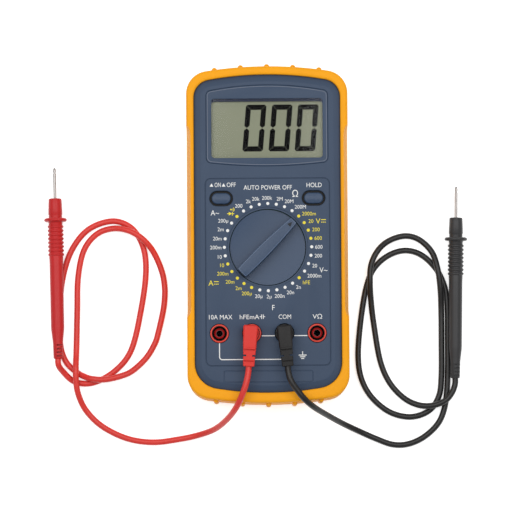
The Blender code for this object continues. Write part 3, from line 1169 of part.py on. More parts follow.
def build_stand(finish, axis):
    """The fold-out stand, made about its hinge line with its foot towards -Y."""
    half = STAND_THICKNESS / 2
    plate_outline = rounded(STAND_WIDTH, STAND_LENGTH, STAND_CORNER, (0.0, -STAND_LENGTH / 2))
    stand = add_part("tilt_stand", slab([plate_outline], -half, half), finish, axis)
    barrel = lay_along_x(rod(half, -STAND_WIDTH / 2, STAND_WIDTH / 2, SMALL_STEPS))
    reach = STAND_WIDTH / 2 + SLIDE + PIVOT_LENGTH - FIT
    pivot = lay_along_x(rod(PIVOT_RADIUS, -reach, reach, SMALL_STEPS))
    join(stand, add_cutter("stand_barrel", barrel, axis), add_cutter("stand_pivot", pivot, axis))
    flutes = []
    for i in range(STAND_FLUTE_COUNT):
        y = -STAND_LENGTH / 2 + (i - (STAND_FLUTE_COUNT - 1) / 2) * STAND_FLUTE_PITCH
        flute = lay_along_x(rod(STAND_FLUTE_RADIUS, -STAND_WIDTH / 3, STAND_WIDTH / 3, SMALL_STEPS))
        flutes.append(moved(flute, 0, y, -half - STAND_FLUTE_RADIUS + STAND_FLUTE_DEPTH))
    notch = moved(rod(FINGER_NOTCH_RADIUS, -half - OVERCUT, half + OVERCUT),
                  0, -STAND_LENGTH - FINGER_NOTCH_RADIUS / 2, 0)
    cut(stand, add_cutter("stand_flutes", merged(flutes), axis), add_cutter("finger_notch", notch, axis))


# Test leads

class Lead(NamedTuple):
    """One test lead: where its cord runs, how its plug sits and how its probe lies."""
    colour: str
    route: tuple
    socket_x: float
    plug_angle: float
    plug_shift: float
    probe_end: tuple
    probe_turn: float
    probe_dip: float


def build_probe(lead, finishes, parent):
    """A probe along +Y from its cord end, and its needle."""
    colour = lead.colour
    profile = [(0.0, PROBE_LENGTH), (NOSE_TIP_RADIUS, PROBE_LENGTH),
               (NOSE_RADIUS, PROBE_LENGTH - NOSE_LENGTH),
               (NECK_RADIUS, PROBE_LENGTH - NOSE_LENGTH - FIT), (NECK_RADIUS, PROBE_LENGTH - FLANGE_START)]
    flange_end = FLANGE_START + FLANGE_THICKNESS
    profile += [(FLANGE_RADIUS - FIT, PROBE_LENGTH - FLANGE_START),
                (FLANGE_RADIUS, PROBE_LENGTH - FLANGE_START - FLANGE_THICKNESS / 2),
                (FLANGE_RADIUS - FIT, PROBE_LENGTH - flange_end), (NOSE_RADIUS, PROBE_LENGTH - flange_end)]
    for i in range(RING_COUNT):
        start = PROBE_LENGTH - RING_START - i * RING_PITCH
        profile += [(NOSE_RADIUS, start), (RING_RADIUS, start - RING_PITCH / 3),
                    (RING_RADIUS, start - RING_PITCH * 2 / 3)]
    rings_end = RING_START + RING_COUNT * RING_PITCH
    profile += [(HANDLE_RADIUS, PROBE_LENGTH - rings_end), (HANDLE_RADIUS, PROBE_LENGTH - HANDLE_END),
                (RELIEF_RADIUS, PROBE_LENGTH - RELIEF_START)]
    for i in range(RELIEF_GROOVES):
        start = PROBE_LENGTH - RELIEF_START - RELIEF_PITCH * (i + 0.5)
        root = RELIEF_RADIUS - RELIEF_GROOVE_DEPTH
        profile += [(RELIEF_RADIUS, start), (root, start), (root, start - RELIEF_PITCH / 2),
                    (RELIEF_RADIUS, start - RELIEF_PITCH / 2)]
    profile += [(RELIEF_RADIUS, 0.0), (0.0, 0.0)]
    to_y = Matrix.Rotation(-math.pi / 2, 4, "X")
    handle_mesh = turned(profile, PROBE_STEPS)
    handle_mesh.transform(to_y)
    axis = make_empty(colour + "_probe", lead.probe_end, (-lead.probe_dip, 0.0, lead.probe_turn), parent)
    handle = add_part(colour + "_probe_handle", handle_mesh, finishes[colour + "_plastic"], axis)
    bore = rod(NEEDLE_RADIUS + FIT, PROBE_LENGTH - NEEDLE_IN - FIT, PROBE_LENGTH + OVERCUT, SMALL_STEPS)
    bore.transform(to_y)
    cut(handle, add_cutter(colour + "_needle_bore", bore, axis))
    tip = PROBE_LENGTH + NEEDLE_OUT
    groove = tip - NEEDLE_POINT - NEEDLE_GROOVE
    waist = NEEDLE_RADIUS - NEEDLE_GROOVE_DEPTH
    needle = [(0.0, tip), (NEEDLE_RADIUS, tip - NEEDLE_POINT), (NEEDLE_RADIUS, groove), (waist, groove),
              (waist, groove - NEEDLE_RADIUS), (NEEDLE_RADIUS, groove - NEEDLE_RADIUS),
              (NEEDLE_RADIUS, PROBE_LENGTH - NEEDLE_IN), (0.0, PROBE_LENGTH - NEEDLE_IN)]
    needle_mesh = turned(needle, SMALL_STEPS)
    needle_mesh.transform(to_y)
    add_part(colour + "_probe_needle", needle_mesh, finishes["nickel"], axis)


def spline_point(points, i, t):
    """A point of the Catmull-Rom curve through points, t of the way from point i to the next."""
    before = points[max(i - 1, 0)]
    start, end = points[i], points[i + 1]
    after = points[min(i + 2, len(points) - 1)]
    return 0.5 * (2 * start + (end - before) * t + (2 * before - 5 * start + 4 * end - after) * t ** 2
                  + (3 * start - before - 3 * end + after) * t ** 3)


def even_points(points, count):
    """count points at even steps along the smooth curve through points."""
    fine = [spline_point(points, i, step / 12) for i in range(len(points) - 1) for step in range(12)]
    fine.append(points[-1])
    lengths = [0.0]
    for here, there in zip(fine, fine[1:]):
        lengths.append(lengths[-1] + (there - here).length)
    picked = []
    at = 0
    for k in range(count):
        goal = lengths[-1] * k / (count - 1)
        while at < len(fine) - 2 and lengths[at + 1] < goal:
            at += 1
        share = (goal - lengths[at]) / (lengths[at + 1] - lengths[at])
        picked.append(fine[at].lerp(fine[at + 1], share))
    return picked, lengths[-1]


def least_self_gap(points):
    """The smallest clear space between stretches of the cord that aren't neighbours."""
    skip = 6
    least = min((a - b).length for i, a in enumerate(points) for b in points[i + skip:])
    return least - 2 * CORD_RADIUS


def cord_path(lead):
    """Route of a lead from the end of its plug to the end of its probe."""
    _, _, cord_z = plug_levels()
    out = Vector((math.sin(lead.plug_angle), -math.cos(lead.plug_angle), 0.0))
    side = Vector((math.cos(lead.plug_angle), math.sin(lead.plug_angle), 0.0))
    start = Vector((lead.socket_x, SOCKET_Y, cord_z)) + side * lead.plug_shift + out * (PLUG_END + FIT)
    level = math.cos(lead.probe_dip)
    back = Vector((math.sin(lead.probe_turn) * level, -math.cos(lead.probe_turn) * level,
                   math.sin(lead.probe_dip)))
    finish = Vector(lead.probe_end) + back * FIT
    rest = CORD_RADIUS + CORD_CLEAR
    middle = [Vector((x * MM, y * MM, z * MM + rest)) for x, y, z in lead.route]
    points = [start, start + out * CORD_STRAIGHT] + middle + [finish + back * CORD_STRAIGHT, finish]
    close, length = even_points(points, CORD_POINTS * 4)
    for point in close:
        point.z = max(point.z, rest)
    gap = least_self_gap(close[::2])
    print(f"{lead.colour} cord: {length / MM:.0f} mm long, least gap to itself {gap / MM:.2f} mm")
    path, _ = even_points(points, CORD_POINTS)
    loose = [point for point in path
             if min((point - start).length, (point - finish).length) > 2 * CORD_STRAIGHT]
    for point in loose:
        point.z = max(point.z, rest)
    return points[:2] + loose + points[-2:]


def build_leads(finishes, parent):
    leads = (Lead("red", RED_ROUTE, SOCKET_XS[1], RED_PLUG_ANGLE, RED_PLUG_SHIFT,
                  RED_PROBE_END, RED_PROBE_TURN, RED_PROBE_DIP),
             Lead("black", BLACK_ROUTE, SOCKET_XS[2], BLACK_PLUG_ANGLE, BLACK_PLUG_SHIFT,
                  BLACK_PROBE_END, BLACK_PROBE_TURN, BLACK_PROBE_DIP))
    for lead in leads:
        axis = make_empty(lead.colour + "_plug_axis", (lead.socket_x, SOCKET_Y, 0.0),
                          (0.0, 0.0, lead.plug_angle), parent)
        build_plug(lead, finishes, axis)
        build_probe(lead, finishes, parent)
        name = lead.colour + "_cord"
        add_part(name, tube_curve(name, cord_path(lead), CORD_RADIUS, 1),
                 finishes[lead.colour + "_rubber"], parent)


def make_finishes():
    return {
        "holster": make_material("holster_rubber", (0.93, 0.40, 0.02), 0.6),
        "case": make_material("case_plastic", (0.07, 0.10, 0.16), 0.5),
        "window": make_material("window_plastic", (0.80, 0.84, 0.85), 0.1),
        "lcd": make_material("lcd_glass", (0.25, 0.27, 0.19), 0.3),
        "inner_plastic": make_material("inner_plastic", (0.05, 0.05, 0.05), 0.6),
        "elastomer": make_material("elastomer", (0.6, 0.3, 0.35), 0.8),
        "board": make_material("board_laminate", (0.02, 0.20, 0.06), 0.5),
        "chip": make_material("chip_epoxy", (0.01, 0.01, 0.01), 0.7),
        "battery": make_material("battery_wrap", (0.05, 0.05, 0.06), 0.4),
        "fuse": make_material("fuse_glass", (0.75, 0.78, 0.78), 0.15),
        "socket_red": make_material("socket_red", (0.65, 0.05, 0.03), 0.4),
        "socket_black": make_material("socket_black", (0.02, 0.02, 0.02), 0.4),
        "brass": make_material("brass", (0.70, 0.50, 0.20), 0.3, 1.0),
        "copper": make_material("copper", (0.75, 0.38, 0.22), 0.3, 1.0),
        "steel": make_material("steel", (0.60, 0.60, 0.60), 0.35, 1.0),
        "nickel": make_material("nickel", (0.72, 0.70, 0.66), 0.25, 1.0),
        "red_rubber": make_material("red_lead_rubber", (0.72, 0.06, 0.04), 0.5),
        "black_rubber": make_material("black_lead_rubber", (0.03, 0.03, 0.03), 0.5),
        "red_plastic": make_material("red_probe_plastic", (0.50, 0.02, 0.03), 0.4),
        "black_plastic": make_material("black_probe_plastic", (0.03, 0.03, 0.035), 0.4),
    }


def shade_parts():
    for made in PARTS.objects:
        if made.type == "MESH":
            smooth(made.data)


def main():
    finishes = make_finishes()
    meter = make_empty("meter")
    build_holster(finishes["holster"], meter)
    build_rear_case(finishes["case"], meter)
    build_front_case(finishes["case"], meter)
    build_display(finishes, meter)
    selector = make_empty("selector_axis", (0.0, KNOB_Y, 0.0), (0.0, 0.0, KNOB_REST_ANGLE), meter)
    build_selector(finishes, selector)
    for name, x in zip(("power", "hold"), BUTTON_XS):
        axis = make_empty(name + "_button_axis", (x, BUTTON_Y, 0.0), parent=meter)
        build_button(name + "_button", name + "_switch", finishes, axis, meter)
    build_sockets(finishes, meter)
    build_board(finishes, meter)
    build_battery(finishes, meter)
    build_fuses(finishes, meter)
    build_screws(finishes, meter)
    build_stand(finishes["case"], make_empty("stand_axis", (0.0, HINGE_Y, HINGE_Z), parent=meter))
    build_leads(finishes, meter)
    shade_parts()


clear_scene()
PARTS = make_collection("digital_multimeter")
CUTTERS = make_collection("cutters")
main()
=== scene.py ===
"""Visible pieces and finishes of a digital multimeter in its rubber holster.

The solids of the meter are loaded as a fixed frame. Each operator below models one
group of visible pieces round that frame, gives them their finish and lets them move
with the body that carries them.
"""
import json
import math

import bmesh
import bpy
from bpy.props import FloatProperty, FloatVectorProperty, PointerProperty
from mathutils import Color, Matrix, Vector


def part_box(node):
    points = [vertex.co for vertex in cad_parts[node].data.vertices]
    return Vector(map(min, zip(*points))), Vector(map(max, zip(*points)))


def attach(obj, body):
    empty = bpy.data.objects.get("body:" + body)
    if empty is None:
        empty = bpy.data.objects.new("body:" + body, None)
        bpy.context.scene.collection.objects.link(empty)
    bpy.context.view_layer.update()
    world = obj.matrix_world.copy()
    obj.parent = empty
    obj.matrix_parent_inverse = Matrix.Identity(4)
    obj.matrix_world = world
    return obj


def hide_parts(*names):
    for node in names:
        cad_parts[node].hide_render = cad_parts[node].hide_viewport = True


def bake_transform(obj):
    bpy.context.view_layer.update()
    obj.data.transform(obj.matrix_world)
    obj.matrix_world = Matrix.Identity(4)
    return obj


bl_info = {
    "name": "Digital Multimeter",
    "version": (1, 0, 0),
    "blender": (4, 5, 0),
    "location": "View3D > Sidebar > Multimeter",
    "description": "Models the visible pieces of a digital multimeter and its test leads",
    "category": "Object",
}

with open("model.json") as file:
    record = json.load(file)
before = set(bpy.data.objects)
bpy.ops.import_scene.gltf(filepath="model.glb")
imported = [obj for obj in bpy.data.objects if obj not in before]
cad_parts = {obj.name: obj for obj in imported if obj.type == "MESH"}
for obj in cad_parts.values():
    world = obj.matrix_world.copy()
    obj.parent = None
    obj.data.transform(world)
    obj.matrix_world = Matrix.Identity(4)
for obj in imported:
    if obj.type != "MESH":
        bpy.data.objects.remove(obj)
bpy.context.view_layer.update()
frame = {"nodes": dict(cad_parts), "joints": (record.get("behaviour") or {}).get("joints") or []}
MM = 0.001


def corners(node):
    """Lowest and highest corner of a solid."""
    low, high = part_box(node)
    return Vector(low), Vector(high)


def middle(node):
    low, high = corners(node)
    return (low + high) / 2


def joint_point(name):
    return Vector(next(joint for joint in frame["joints"] if joint["name"] == name)["pos_m"])


# Places and sizes that the frame gives
SOCKETS = ("10a", "ma", "com", "volt")
BUTTONS = ("power_button", "hold_button")
FACE_Z = corners("front_case")[1].z
SEAM_Z = corners("front_case")[0].z
CASE_HALF = corners("front_case")[1].x
CASE_TOP = corners("front_case")[1].y
HOLSTER_HALF = corners("holster")[1].x
LIP_Z = corners("holster")[1].z
KNOB_AXIS = joint_point("selector_turn")
KNOB_TOP = corners("selector_knob")[1].z
SOCKET_Y = middle("socket_10a").y
SOCKET_XS = [middle("socket_" + name).x for name in SOCKETS]
SOCKET_TOP = corners("socket_10a")[1].z
WINDOW_LOW, WINDOW_HIGH = corners("display_window")
LCD_TOP = corners("lcd_panel")[1].z

# Fits and small rounds
FIT = 0.3 * MM
OVERCUT = 1.0 * MM
INK = 0.04 * MM
LEAST_CORNER = 0.2 * MM
MOUTH_EDGE = 0.15 * MM
ROUND_STEPS = 4

# Case and holster
HOLSTER_WALL = 3.15 * MM
HOLSTER_BACK = 2.0 * MM
HOLSTER_EDGE = 2.0 * MM
HOLSTER_STEPS = 5
HOLSTER_FLARE = 0.95 * MM
CASE_CORNER = 10.0 * MM
CASE_END_ARC = 232.0 * MM
CASE_WALL = 2.2 * MM
FACE_WALL = 2.4 * MM
FACE_STEP = 3.0 * MM
FACE_SLOPE = 4.1 * MM
LIP_SIDE = 4.35 * MM
LIP_TOP = 4.9 * MM
LIP_BOTTOM = 6.0 * MM
LIP_GAP = 0.1 * MM
LIP_ROUND = 2.2 * MM
LIP_DROP = 1.0 * MM
OPENING_ARCS = (195.0 * MM, 180.0 * MM)
OPENING_CORNERS = (10.5 * MM, 15.0 * MM)
RIB_COUNT = 5
RIB_PITCH = 15.4 * MM
RIB_RADIUS = 1.6 * MM
RIB_END_MARGIN = 3.5 * MM
RIB_DOME = (0.0, 0.4, 0.8, 1.15, 1.4)       # turns in radians of the rings that round off a rib's end
GRIP_LENGTH = 113.0 * MM
GRIP_CENTRE = 7.8 * MM
GRIP_WIDTH = 2.5 * MM
GRIP_HEIGHT = 15.0 * MM
GRIP_RUNOUT = 6.0 * MM
GRIP_DRAWBACK = 3.0 * MM
GRIP_STEPS = 6
STAND_MARGIN = 2.4 * MM
STAND_PIVOTS = 5.0 * MM                     # what the two pivots add to the width of the stand
STAND_CORNER = 4.0 * MM
GROOVE_WIDTH = 0.7 * MM
GROOVE_DEPTH = 0.45 * MM
GROOVE_FLOOR = 0.4                          # share of its width
PANEL_MARGIN = 6.7 * MM
PANEL_ABOVE_BUTTONS = 11.7 * MM
PANEL_BELOW_SOCKETS = 18.9 * MM
PANEL_CORNER = 3.2 * MM
PLATE_LENGTH = 51.8 * MM
PLATE_HEIGHT = 6.5 * MM
PLATE_BELOW_PANEL = 3.1 * MM
PLATE_CORNER = 0.8 * MM

# Step round the face, as shares of its width and height
FACE_BORDER = ((0.0, 0.0), (0.0, 0.5), (0.03, 0.58), (0.1, 0.64), (0.5, 0.805), (0.85, 0.94), (0.94, 0.975),
               (1.0, 0.993), (1.06, 1.0))

# Display
VIEW_WIDTH = 65.4 * MM
VIEW_LENGTH = 33.4 * MM
VIEW_CORNER = 2.0 * MM
VIEW_BELOW_WINDOW_TOP = 9.1 * MM
VIEW_SHADE = 1.6 * MM
WINDOW_ARCS = (177.0 * MM, 282.0 * MM)
WINDOW_CORNER = 3.0 * MM
WINDOW_EDGE = 0.4 * MM
WINDOW_GROWTH = 0.18 * MM
WINDOW_REACH = 0.35 * MM
# Width and inset of the pale line of painted highlight near the window's edge
WINDOW_LINE = 0.3 * MM
WINDOW_LINE_INSET = 0.5 * MM
PANE_PLAY = 0.1 * MM
PANE_DROP = 0.15 * MM
PANE_THICKNESS = 0.35 * MM
LCD_CORNER = 0.6 * MM
LCD_EDGE = 0.2 * MM
DIGIT_COUNT = 3
DIGIT_HEIGHT = 27.6 * MM
DIGIT_WIDTH = 12.1 * MM
DIGIT_CHIP = 1.0 * MM
DIGIT_PITCH = 15.35 * MM
DIGIT_SLANT = math.tan(math.radians(4.9))
DIGIT_GAP = 0.07 * MM
DIGIT_WAIST_GAP = 0.12 * MM
DIGIT_WAIST_SLOPES = (0.4, 0.45)            # outside and inside, as shares of the stroke
LAST_DIGIT_X = 16.15 * MM
DIGIT_FOOT = 4.0 * MM

# Selector
KNOB_RADIUS = 22.1 * MM
KNOB_GAP = 0.45 * MM
KNOB_STEP_WIDTH = 1.1 * MM
KNOB_STEP_DEPTH = 0.5 * MM
KNOB_STEP_EDGE = 0.2 * MM
KNOB_RISE = 0.6 * MM
KNOB_EDGE = 0.5 * MM
KNOB_STEPS = 128
KNOB_REST_ANGLE = math.radians(-45.0)
SCOOP_RADIUS = 80.0 * MM
SCOOP_OFFSET = 3.6 * MM
SCOOP_DEPTH = 3.2 * MM
BAR_TIP = 4.4 * MM
BAR_TAIL = 6.6 * MM
BAR_BOW = 0.78 * MM
BAR_STEPS = 12
BAR_MARGIN = 0.25 * MM
BAR_DRAFT = 0.2 * MM
BAR_EDGE = 0.6 * MM
POINTER_FROM_TIP = 1.45 * MM
HIGHLIGHT_SLOPES = (0.2, 0.97)                   # upward share of the normals of the faces that get a painted highlight

# Buttons
BUTTON_LENGTH = 11.2 * MM
BUTTON_WIDTH = 6.4 * MM
BUTTON_GAP = 1.3 * MM
BUTTON_CHAMFER = 0.4 * MM
BUTTON_EDGE = 0.8 * MM
BUTTON_CROWN = 0.4 * MM
BUTTON_CROWN_RINGS = (0.6, 0.25)            # shares of the way from the middle to the rounded edge
BUTTON_STEPS = 5
BUTTON_FLANGE = 0.9 * MM
BUTTON_FLANGE_HEIGHT = 1.2 * MM
BUTTON_STEM = 1.5 * MM

# Sockets and plugs
SOCKET_RADIUS = 5.43 * MM
SOCKET_RING = 1.0 * MM
SOCKET_EDGE = 0.25 * MM
SOCKET_TINTS = {"red": ((0.84, 0.29, 0.24), (0.58, 0.06, 0.06)),        # ring and tube
                "black": ((0.11, 0.11, 0.115), (0.09, 0.09, 0.095))}
SHROUD_SLOT = 1.15 * MM
SHROUD_DEPTH = 14.0 * MM
TUBE_RADIUS = 3.1 * MM
TUBE_EYE = 2.0 * MM
TUBE_DROP = 1.5 * MM
SLEEVE_WALL = 0.4 * MM
SHROUD_WALL = 0.55 * MM
PLUG_FRONT = 4.5 * MM
PLUG_BLOCK = 9.0 * MM
PLUG_END = 19.6 * MM
PLUG_WIDTH = 8.8 * MM
PLUG_WAIST = 7.8 * MM
PLUG_TAIL = 6.6 * MM
PLUG_HEIGHT = 10.5 * MM
PLUG_TAIL_HEIGHT = 7.0 * MM
PLUG_EDGE = 1.2 * MM
PLUG_STEPS = 3
PLUG_TAIL_EDGE = 0.7 * MM
PLUG_TAIL_STEP = 0.1 * MM                   # unit of the small steps that round off the tail
PLUG_GAP = 0.4 * MM
PLUG_SLOT = 1.0 * MM
PLUG_SLOT_EDGE = 0.15 * MM
PLUG_SLOTS = 3
PLUG_SLOT_STEP = 3.35 * MM
PLUG_CORE = 3.4 * MM
PIN_RADIUS = 1.8 * MM
PIN_ROOT = 3.0 * MM
PLUG_ANGLES = {"red": math.radians(-3.4), "black": math.radians(5.0)}
PLUG_SHIFTS = {"red": -0.9 * MM, "black": 0.0}
PLUG_SOCKETS = {"red": 1, "black": 2}

# Test leads
CORD_RADIUS = 1.8 * MM
CORD_CLEAR = 0.05 * MM
CORD_STRAIGHT = 4.0 * MM
CORD_STEP = 1.6 * MM
CORD_SINK = 0.5 * MM
PROBE_LENGTH = 95.4 * MM
PROBE_EDGE = 0.1 * MM                       # unit of the small steps along the handle
NOSE_LENGTH = 9.7 * MM
NOSE_TIP_RADIUS = 3.8 * MM
NOSE_RADIUS = 4.2 * MM
NECK_RADIUS = 3.95 * MM
FLANGE_RADIUS = 6.75 * MM
FLANGE_START = 11.8 * MM
FLANGE_THICKNESS = 2.0 * MM
FLANGE_EDGE = 0.9 * MM
FLANGE_STEPS = 8
RING_COUNT = 8
RING_START = 15.85 * MM
RING_PITCH = 2.37 * MM
RING_RADIUS = 4.75 * MM
RING_SHARE = 0.78                           # share of the pitch that a ring takes up
RING_FOOT = 0.8                             # share of the pitch where the gap after it starts
RING_FULLNESS = 0.6                         # power of the sine that rounds it
RING_STEPS = 6
HANDLE_RADIUS = 3.95 * MM
HANDLE_END = 78.0 * MM
HANDLE_TAPER = 4.0 * MM
RELIEF_START = 86.0 * MM
RELIEF_RADIUS = 2.75 * MM
RELIEF_SLOTS = 4
RELIEF_FIRST = 0.75                         # place of the first slot, in pitches
RELIEF_PITCH = 2.15 * MM
RELIEF_SLOT = 1.0 * MM
RELIEF_CORE = 1.8 * MM
NEEDLE_RADIUS = 0.92 * MM
NEEDLE_OUT = 18.4 * MM
NEEDLE_IN = 7.0 * MM
NEEDLE_POINT = 1.7 * MM
NEEDLE_GROOVE = 0.8 * MM
NEEDLE_TIP = ((0.3, 0.0), (0.62, 0.25), (0.82, 0.8))    # radius and distance from the tip in millimetres
PROBE_ENDS = {"red": Vector((-124.6, -71.8, 8.5)) * MM, "black": Vector((110.9, -84.7, 5.5)) * MM}
PROBE_TURNS = {"red": math.radians(1.05), "black": math.radians(-0.8)}
PROBE_DIPS = {"red": math.radians(1.15), "black": math.radians(-0.95)}
PROBE_TINTS = {"red": (0.76, 0.17, 0.175), "black": (0.23, 0.23, 0.235)}

# Routes of the leads in millimetres: across, along, and height of the cord's underside
CORD_ROUTES = {
    "red": (
        (-13.4, -88.5, 40.4), (-16.1, -95.7, 39.0), (-19.6, -102.4, 33.6), (-24.9, -108.7, 22.8),
        (-32.1, -114.1, 10.4), (-41.4, -117.4, 2.6), (-52.8, -119.8, 0), (-68.8, -121.6, 0),
        (-84.3, -119.2, 0), (-98.9, -112.0, 0), (-108.5, -102.5, 0.4), (-113.0, -92.7, 3.4),
        (-114.2, -84.5, 4.6), (-114.3, -77.5, 4.6), (-114.2, -69.5, 1.4), (-114.0, -60.5, 0),
        (-113.6, -42.6, 0), (-113.0, -23.0, 0), (-109.5, -7.1, 0), (-102.0, 2.4, 0), (-92.1, 5.8, 0.9),
        (-81.9, 4.0, 4.0), (-73.2, -1.8, 4.2), (-66.9, -10.4, 1.2), (-62.1, -23.9, 0),
        (-61.7, -38.8, 0), (-65.7, -57.8, 0), (-68.2, -64.4, 0), (-72.5, -71.3, 0.3), (-79.2, -77.9, 1.8),
        (-85.1, -81.4, 3.6), (-95.9, -84.1, 4.3), (-104.4, -83.8, 4.0), (-109.6, -82.2, 1.2),
        (-114.2, -79.6, 0), (-120.3, -73.6, 0), (-123.7, -63.4, 0), (-124.2, -45.6, 0),
        (-122.4, -24.7, 0), (-116.9, -7.2, 0), (-106.9, 5.3, 0), (-92.6, 10.3, 0), (-81.1, 6.1, 0),
        (-74.3, -5.0, 0), (-72.6, -20.2, 0), (-75.5, -42.3, 0), (-81.4, -66.4, 0), (-91.3, -79.1, 0),
        (-104.3, -86.0, 0), (-115.1, -85.4, 0), (-121.8, -79.6, 2.6),
    ),
    "black": (
        (13.1, -86.3, 40.3), (16.6, -91.6, 39.6), (21.1, -97.1, 38.0), (26.8, -101.8, 32.4),
        (34.9, -106.5, 20.4), (44.0, -111.3, 9.0), (53.6, -115.8, 2.1), (63.7, -120.3, 0.1),
        (73.5, -123.8, 0), (82.7, -123.6, 0), (92.0, -119.6, 0), (100.1, -112.3, 0),
        (104.2, -103.9, 0), (106.1, -92.9, 0), (106.85, -78.0, 0), (107.0, -59.0, 0),
        (107.0, -44.1, 0), (105.8, -31.8, 0), (100.8, -20.1, 0), (91.8, -11.2, 0),
        (82.0, -8.4, 0), (71.9, -11.4, 0), (63.4, -19.0, 0), (58.6, -30.6, 0),
        (55.1, -50.9, 0), (53.5, -71.1, 0), (55.4, -84.8, 0), (61.6, -96.0, 0),
        (72.3, -104.7, 0), (84.7, -107.5, 0), (95.5, -103.8, 0), (101.4, -95.1, 0),
        (102.95, -83.3, 0), (103.2, -64.9, 0), (103.2, -44.7, 0.7), (102.6, -31.0, 3.4),
        (101.1, -19.8, 4.2), (97.8, -9.4, 2.0), (90.5, -2.0, 0.3), (82.2, 0.3, 0),
        (72.9, -2.3, 0.5), (66.0, -8.0, 3.0), (61.6, -16.8, 4.2), (60.8, -27.2, 4.2),
        (61.4, -38.5, 1.6), (63.0, -52.4, 0), (66.5, -73.6, 0), (71.8, -86.6, 0),
        (80.0, -95.9, 0.8), (88.6, -100.4, 3.4), (97.0, -100.9, 4.3), (104.7, -98.1, 4.4),
        (109.0, -93.2, 4.0),
    ),
}

# Print round the dial: label, 1 for yellow ink or 0 for white, and degrees from the top to the label
DIAL = (
    ("200k", 0, -1), ("2M", 0, 14), ("20M", 0, 25), ("200M", 0, 39), ("2000m", 1, 51), ("20", 1, 59),
    ("200", 1, 70), ("600", 1, 80), ("600", 0, 90), ("200", 0, 100), ("20", 0, 112), ("2000m", 0, 122),
    ("hFE", 1, 133), ("2n", 0, 143), ("20n", 0, 154), ("200n", 0, 167), ("2µ", 0, 179), ("20µ", 0, 191),
    ("200µ", 1, 205), ("2m", 1, 216), ("20m", 1, 228), ("200m", 1, 240), ("10", 1, 249), ("10", 0, 259),
    ("200m", 0, 270), ("20m", 0, 280), ("2m", 0, 291), ("200µ", 0, 301), ("", 1, 313), ("200", 0, 325),
    ("2k", 0, 337), ("20k", 0, 346),
)
DOT_CIRCLE = 25.6 * MM
LABEL_CIRCLE = 28.0 * MM
LABEL_PUSH = 0.8            # share of a label's half size by which it moves out from that circle
LABEL_STRETCH = 0.96
LABEL_EXTRA = {11: 0.65 * MM, 12: 0.65 * MM}     # more reach for the labels at these places
PRINT_SHIFT = Vector((0.2, 0.1)) * MM
CAPITAL_SHARE = 0.73                        # height of a capital as a share of the size of the type
LINE_WIDTH = 0.55 * MM
LINE_STEPS = 6

# Captions with their places and widths in millimetres; those above the sockets share one line
CAPTIONS = (("AUTO POWER OFF", 0.3, 27.45, 28.3), ("HOLD", 27.4, 28.75, 8.9), ("ON", -29.1, 29.1, 3.65),
            ("OFF", -21.2, 29.1, 5.3))
SOCKET_CAPTIONS = (("10A MAX", -28.15, 13.7), ("hFEmA", -11.05, 11.4), ("COM", 9.8, 7.3),
                   ("VΩ", 28.9, 5.55))
SOCKET_CAPTION_RISE = 9.7 * MM

# Units with their places and heights in millimetres
UNITS = (("Ω", 16.3, 23.75, 4.1), ("F", 3.0, -43.1, 3.2), ("V~", 32.6, -21.2, 3.2),
         ("A~", -30.8, 12.7, 3.2))
UNIT_STRETCH = 0.92
DC_UNITS = (("V", 29.6, 7.5), ("A", -33.4, -28.5))

# Signs: ends of their strokes or corners of their arrows in millimetres from the sign's place
GROUND_SIGN = ((0.0, 2.2, 0.0, LINE_WIDTH / MM / 2), (-2.3, 0.0, 2.3, 0.0), (-1.6, -1.0, 1.6, -1.0),
               (-0.9, -2.0, 0.9, -2.0))
GROUND_X = 20.0 * MM
GROUND_DROP = 12.9 * MM
CAPACITOR_SIGN = ((-0.5, -1.3, -0.5, 1.3), (-0.7, 0.0, -1.6, 0.0), (0.5, -1.3, 0.5, 1.3),
                  (0.7, 0.0, 1.6, 0.0))
CAPACITOR_X = -3.4 * MM
DC_SIGN = ((1.8, 0.7, 4.6, 0.7), (1.8, -0.75, 2.55, -0.75), (2.8, -0.75, 3.55, -0.75),
           (3.8, -0.75, 4.55, -0.75))
DC_LINE = 0.45 * MM
DIODE_SIGN = ((0.9, -1.9, 0.9, 0.3), (-2.2, -0.8, -1.2, -0.8), (1.1, -0.8, 2.0, -0.8))
DIODE_ARROW = ((-1.2, -1.9), (0.7, -0.8), (-1.2, 0.3))
DIODE_PLACE = 28                            # the place on the dial that has a sign for its label
DIODE_OUT = (2.4 * MM, 1.2 * MM)
SIGN_LINE = 0.4 * MM
BELL = (0.1, 1.6)
BELL_RADIUS = 0.5 * MM
WAVES = (0.6, 1.6)
WAVE_RADII = (0.7 * MM, 1.4 * MM)
WAVE_LINE = 0.36 * MM
WAVE_TURN = 0.9
ARROW = ((-1.1, 0.0), (1.1, 0.0), (0.0, 1.9))
ARROW_SPOTS = ((-32.75, 28.0), (-25.65, 28.0))

# Lines between the sockets
SOCKET_LINE_DROP = 15.3 * MM
SOCKET_LINE_CORNER = 1.6 * MM
SOCKET_LINE_PAST = 1.0 * MM
LINK_DROP = 1.5 * MM

# Floor, lamps and camera
FLOOR_SIZE = 6.0
FLOOR_TINT = (0.9, 0.9, 0.9, 1.0)
FLOOR_GLOW = 0.6
BOX_SIZE = 0.9
BOX_HEIGHT = 1.15
BOX_ALONG = 0.25
SENSOR_WIDTH = 36.0
FAR_CLIP = 20.0


# Outlines

def arc(centre, radius, start, end, steps):
    """Points along a circular arc, both ends included."""
    angles = [start + (end - start) * i / steps for i in range(steps + 1)]
    return [(centre[0] + radius * math.cos(a), centre[1] + radius * math.sin(a)) for a in angles]


def circle(radius, steps=64, centre=(0.0, 0.0)):
    return arc(centre, radius, 0.0, 2 * math.pi, steps)[:-1]


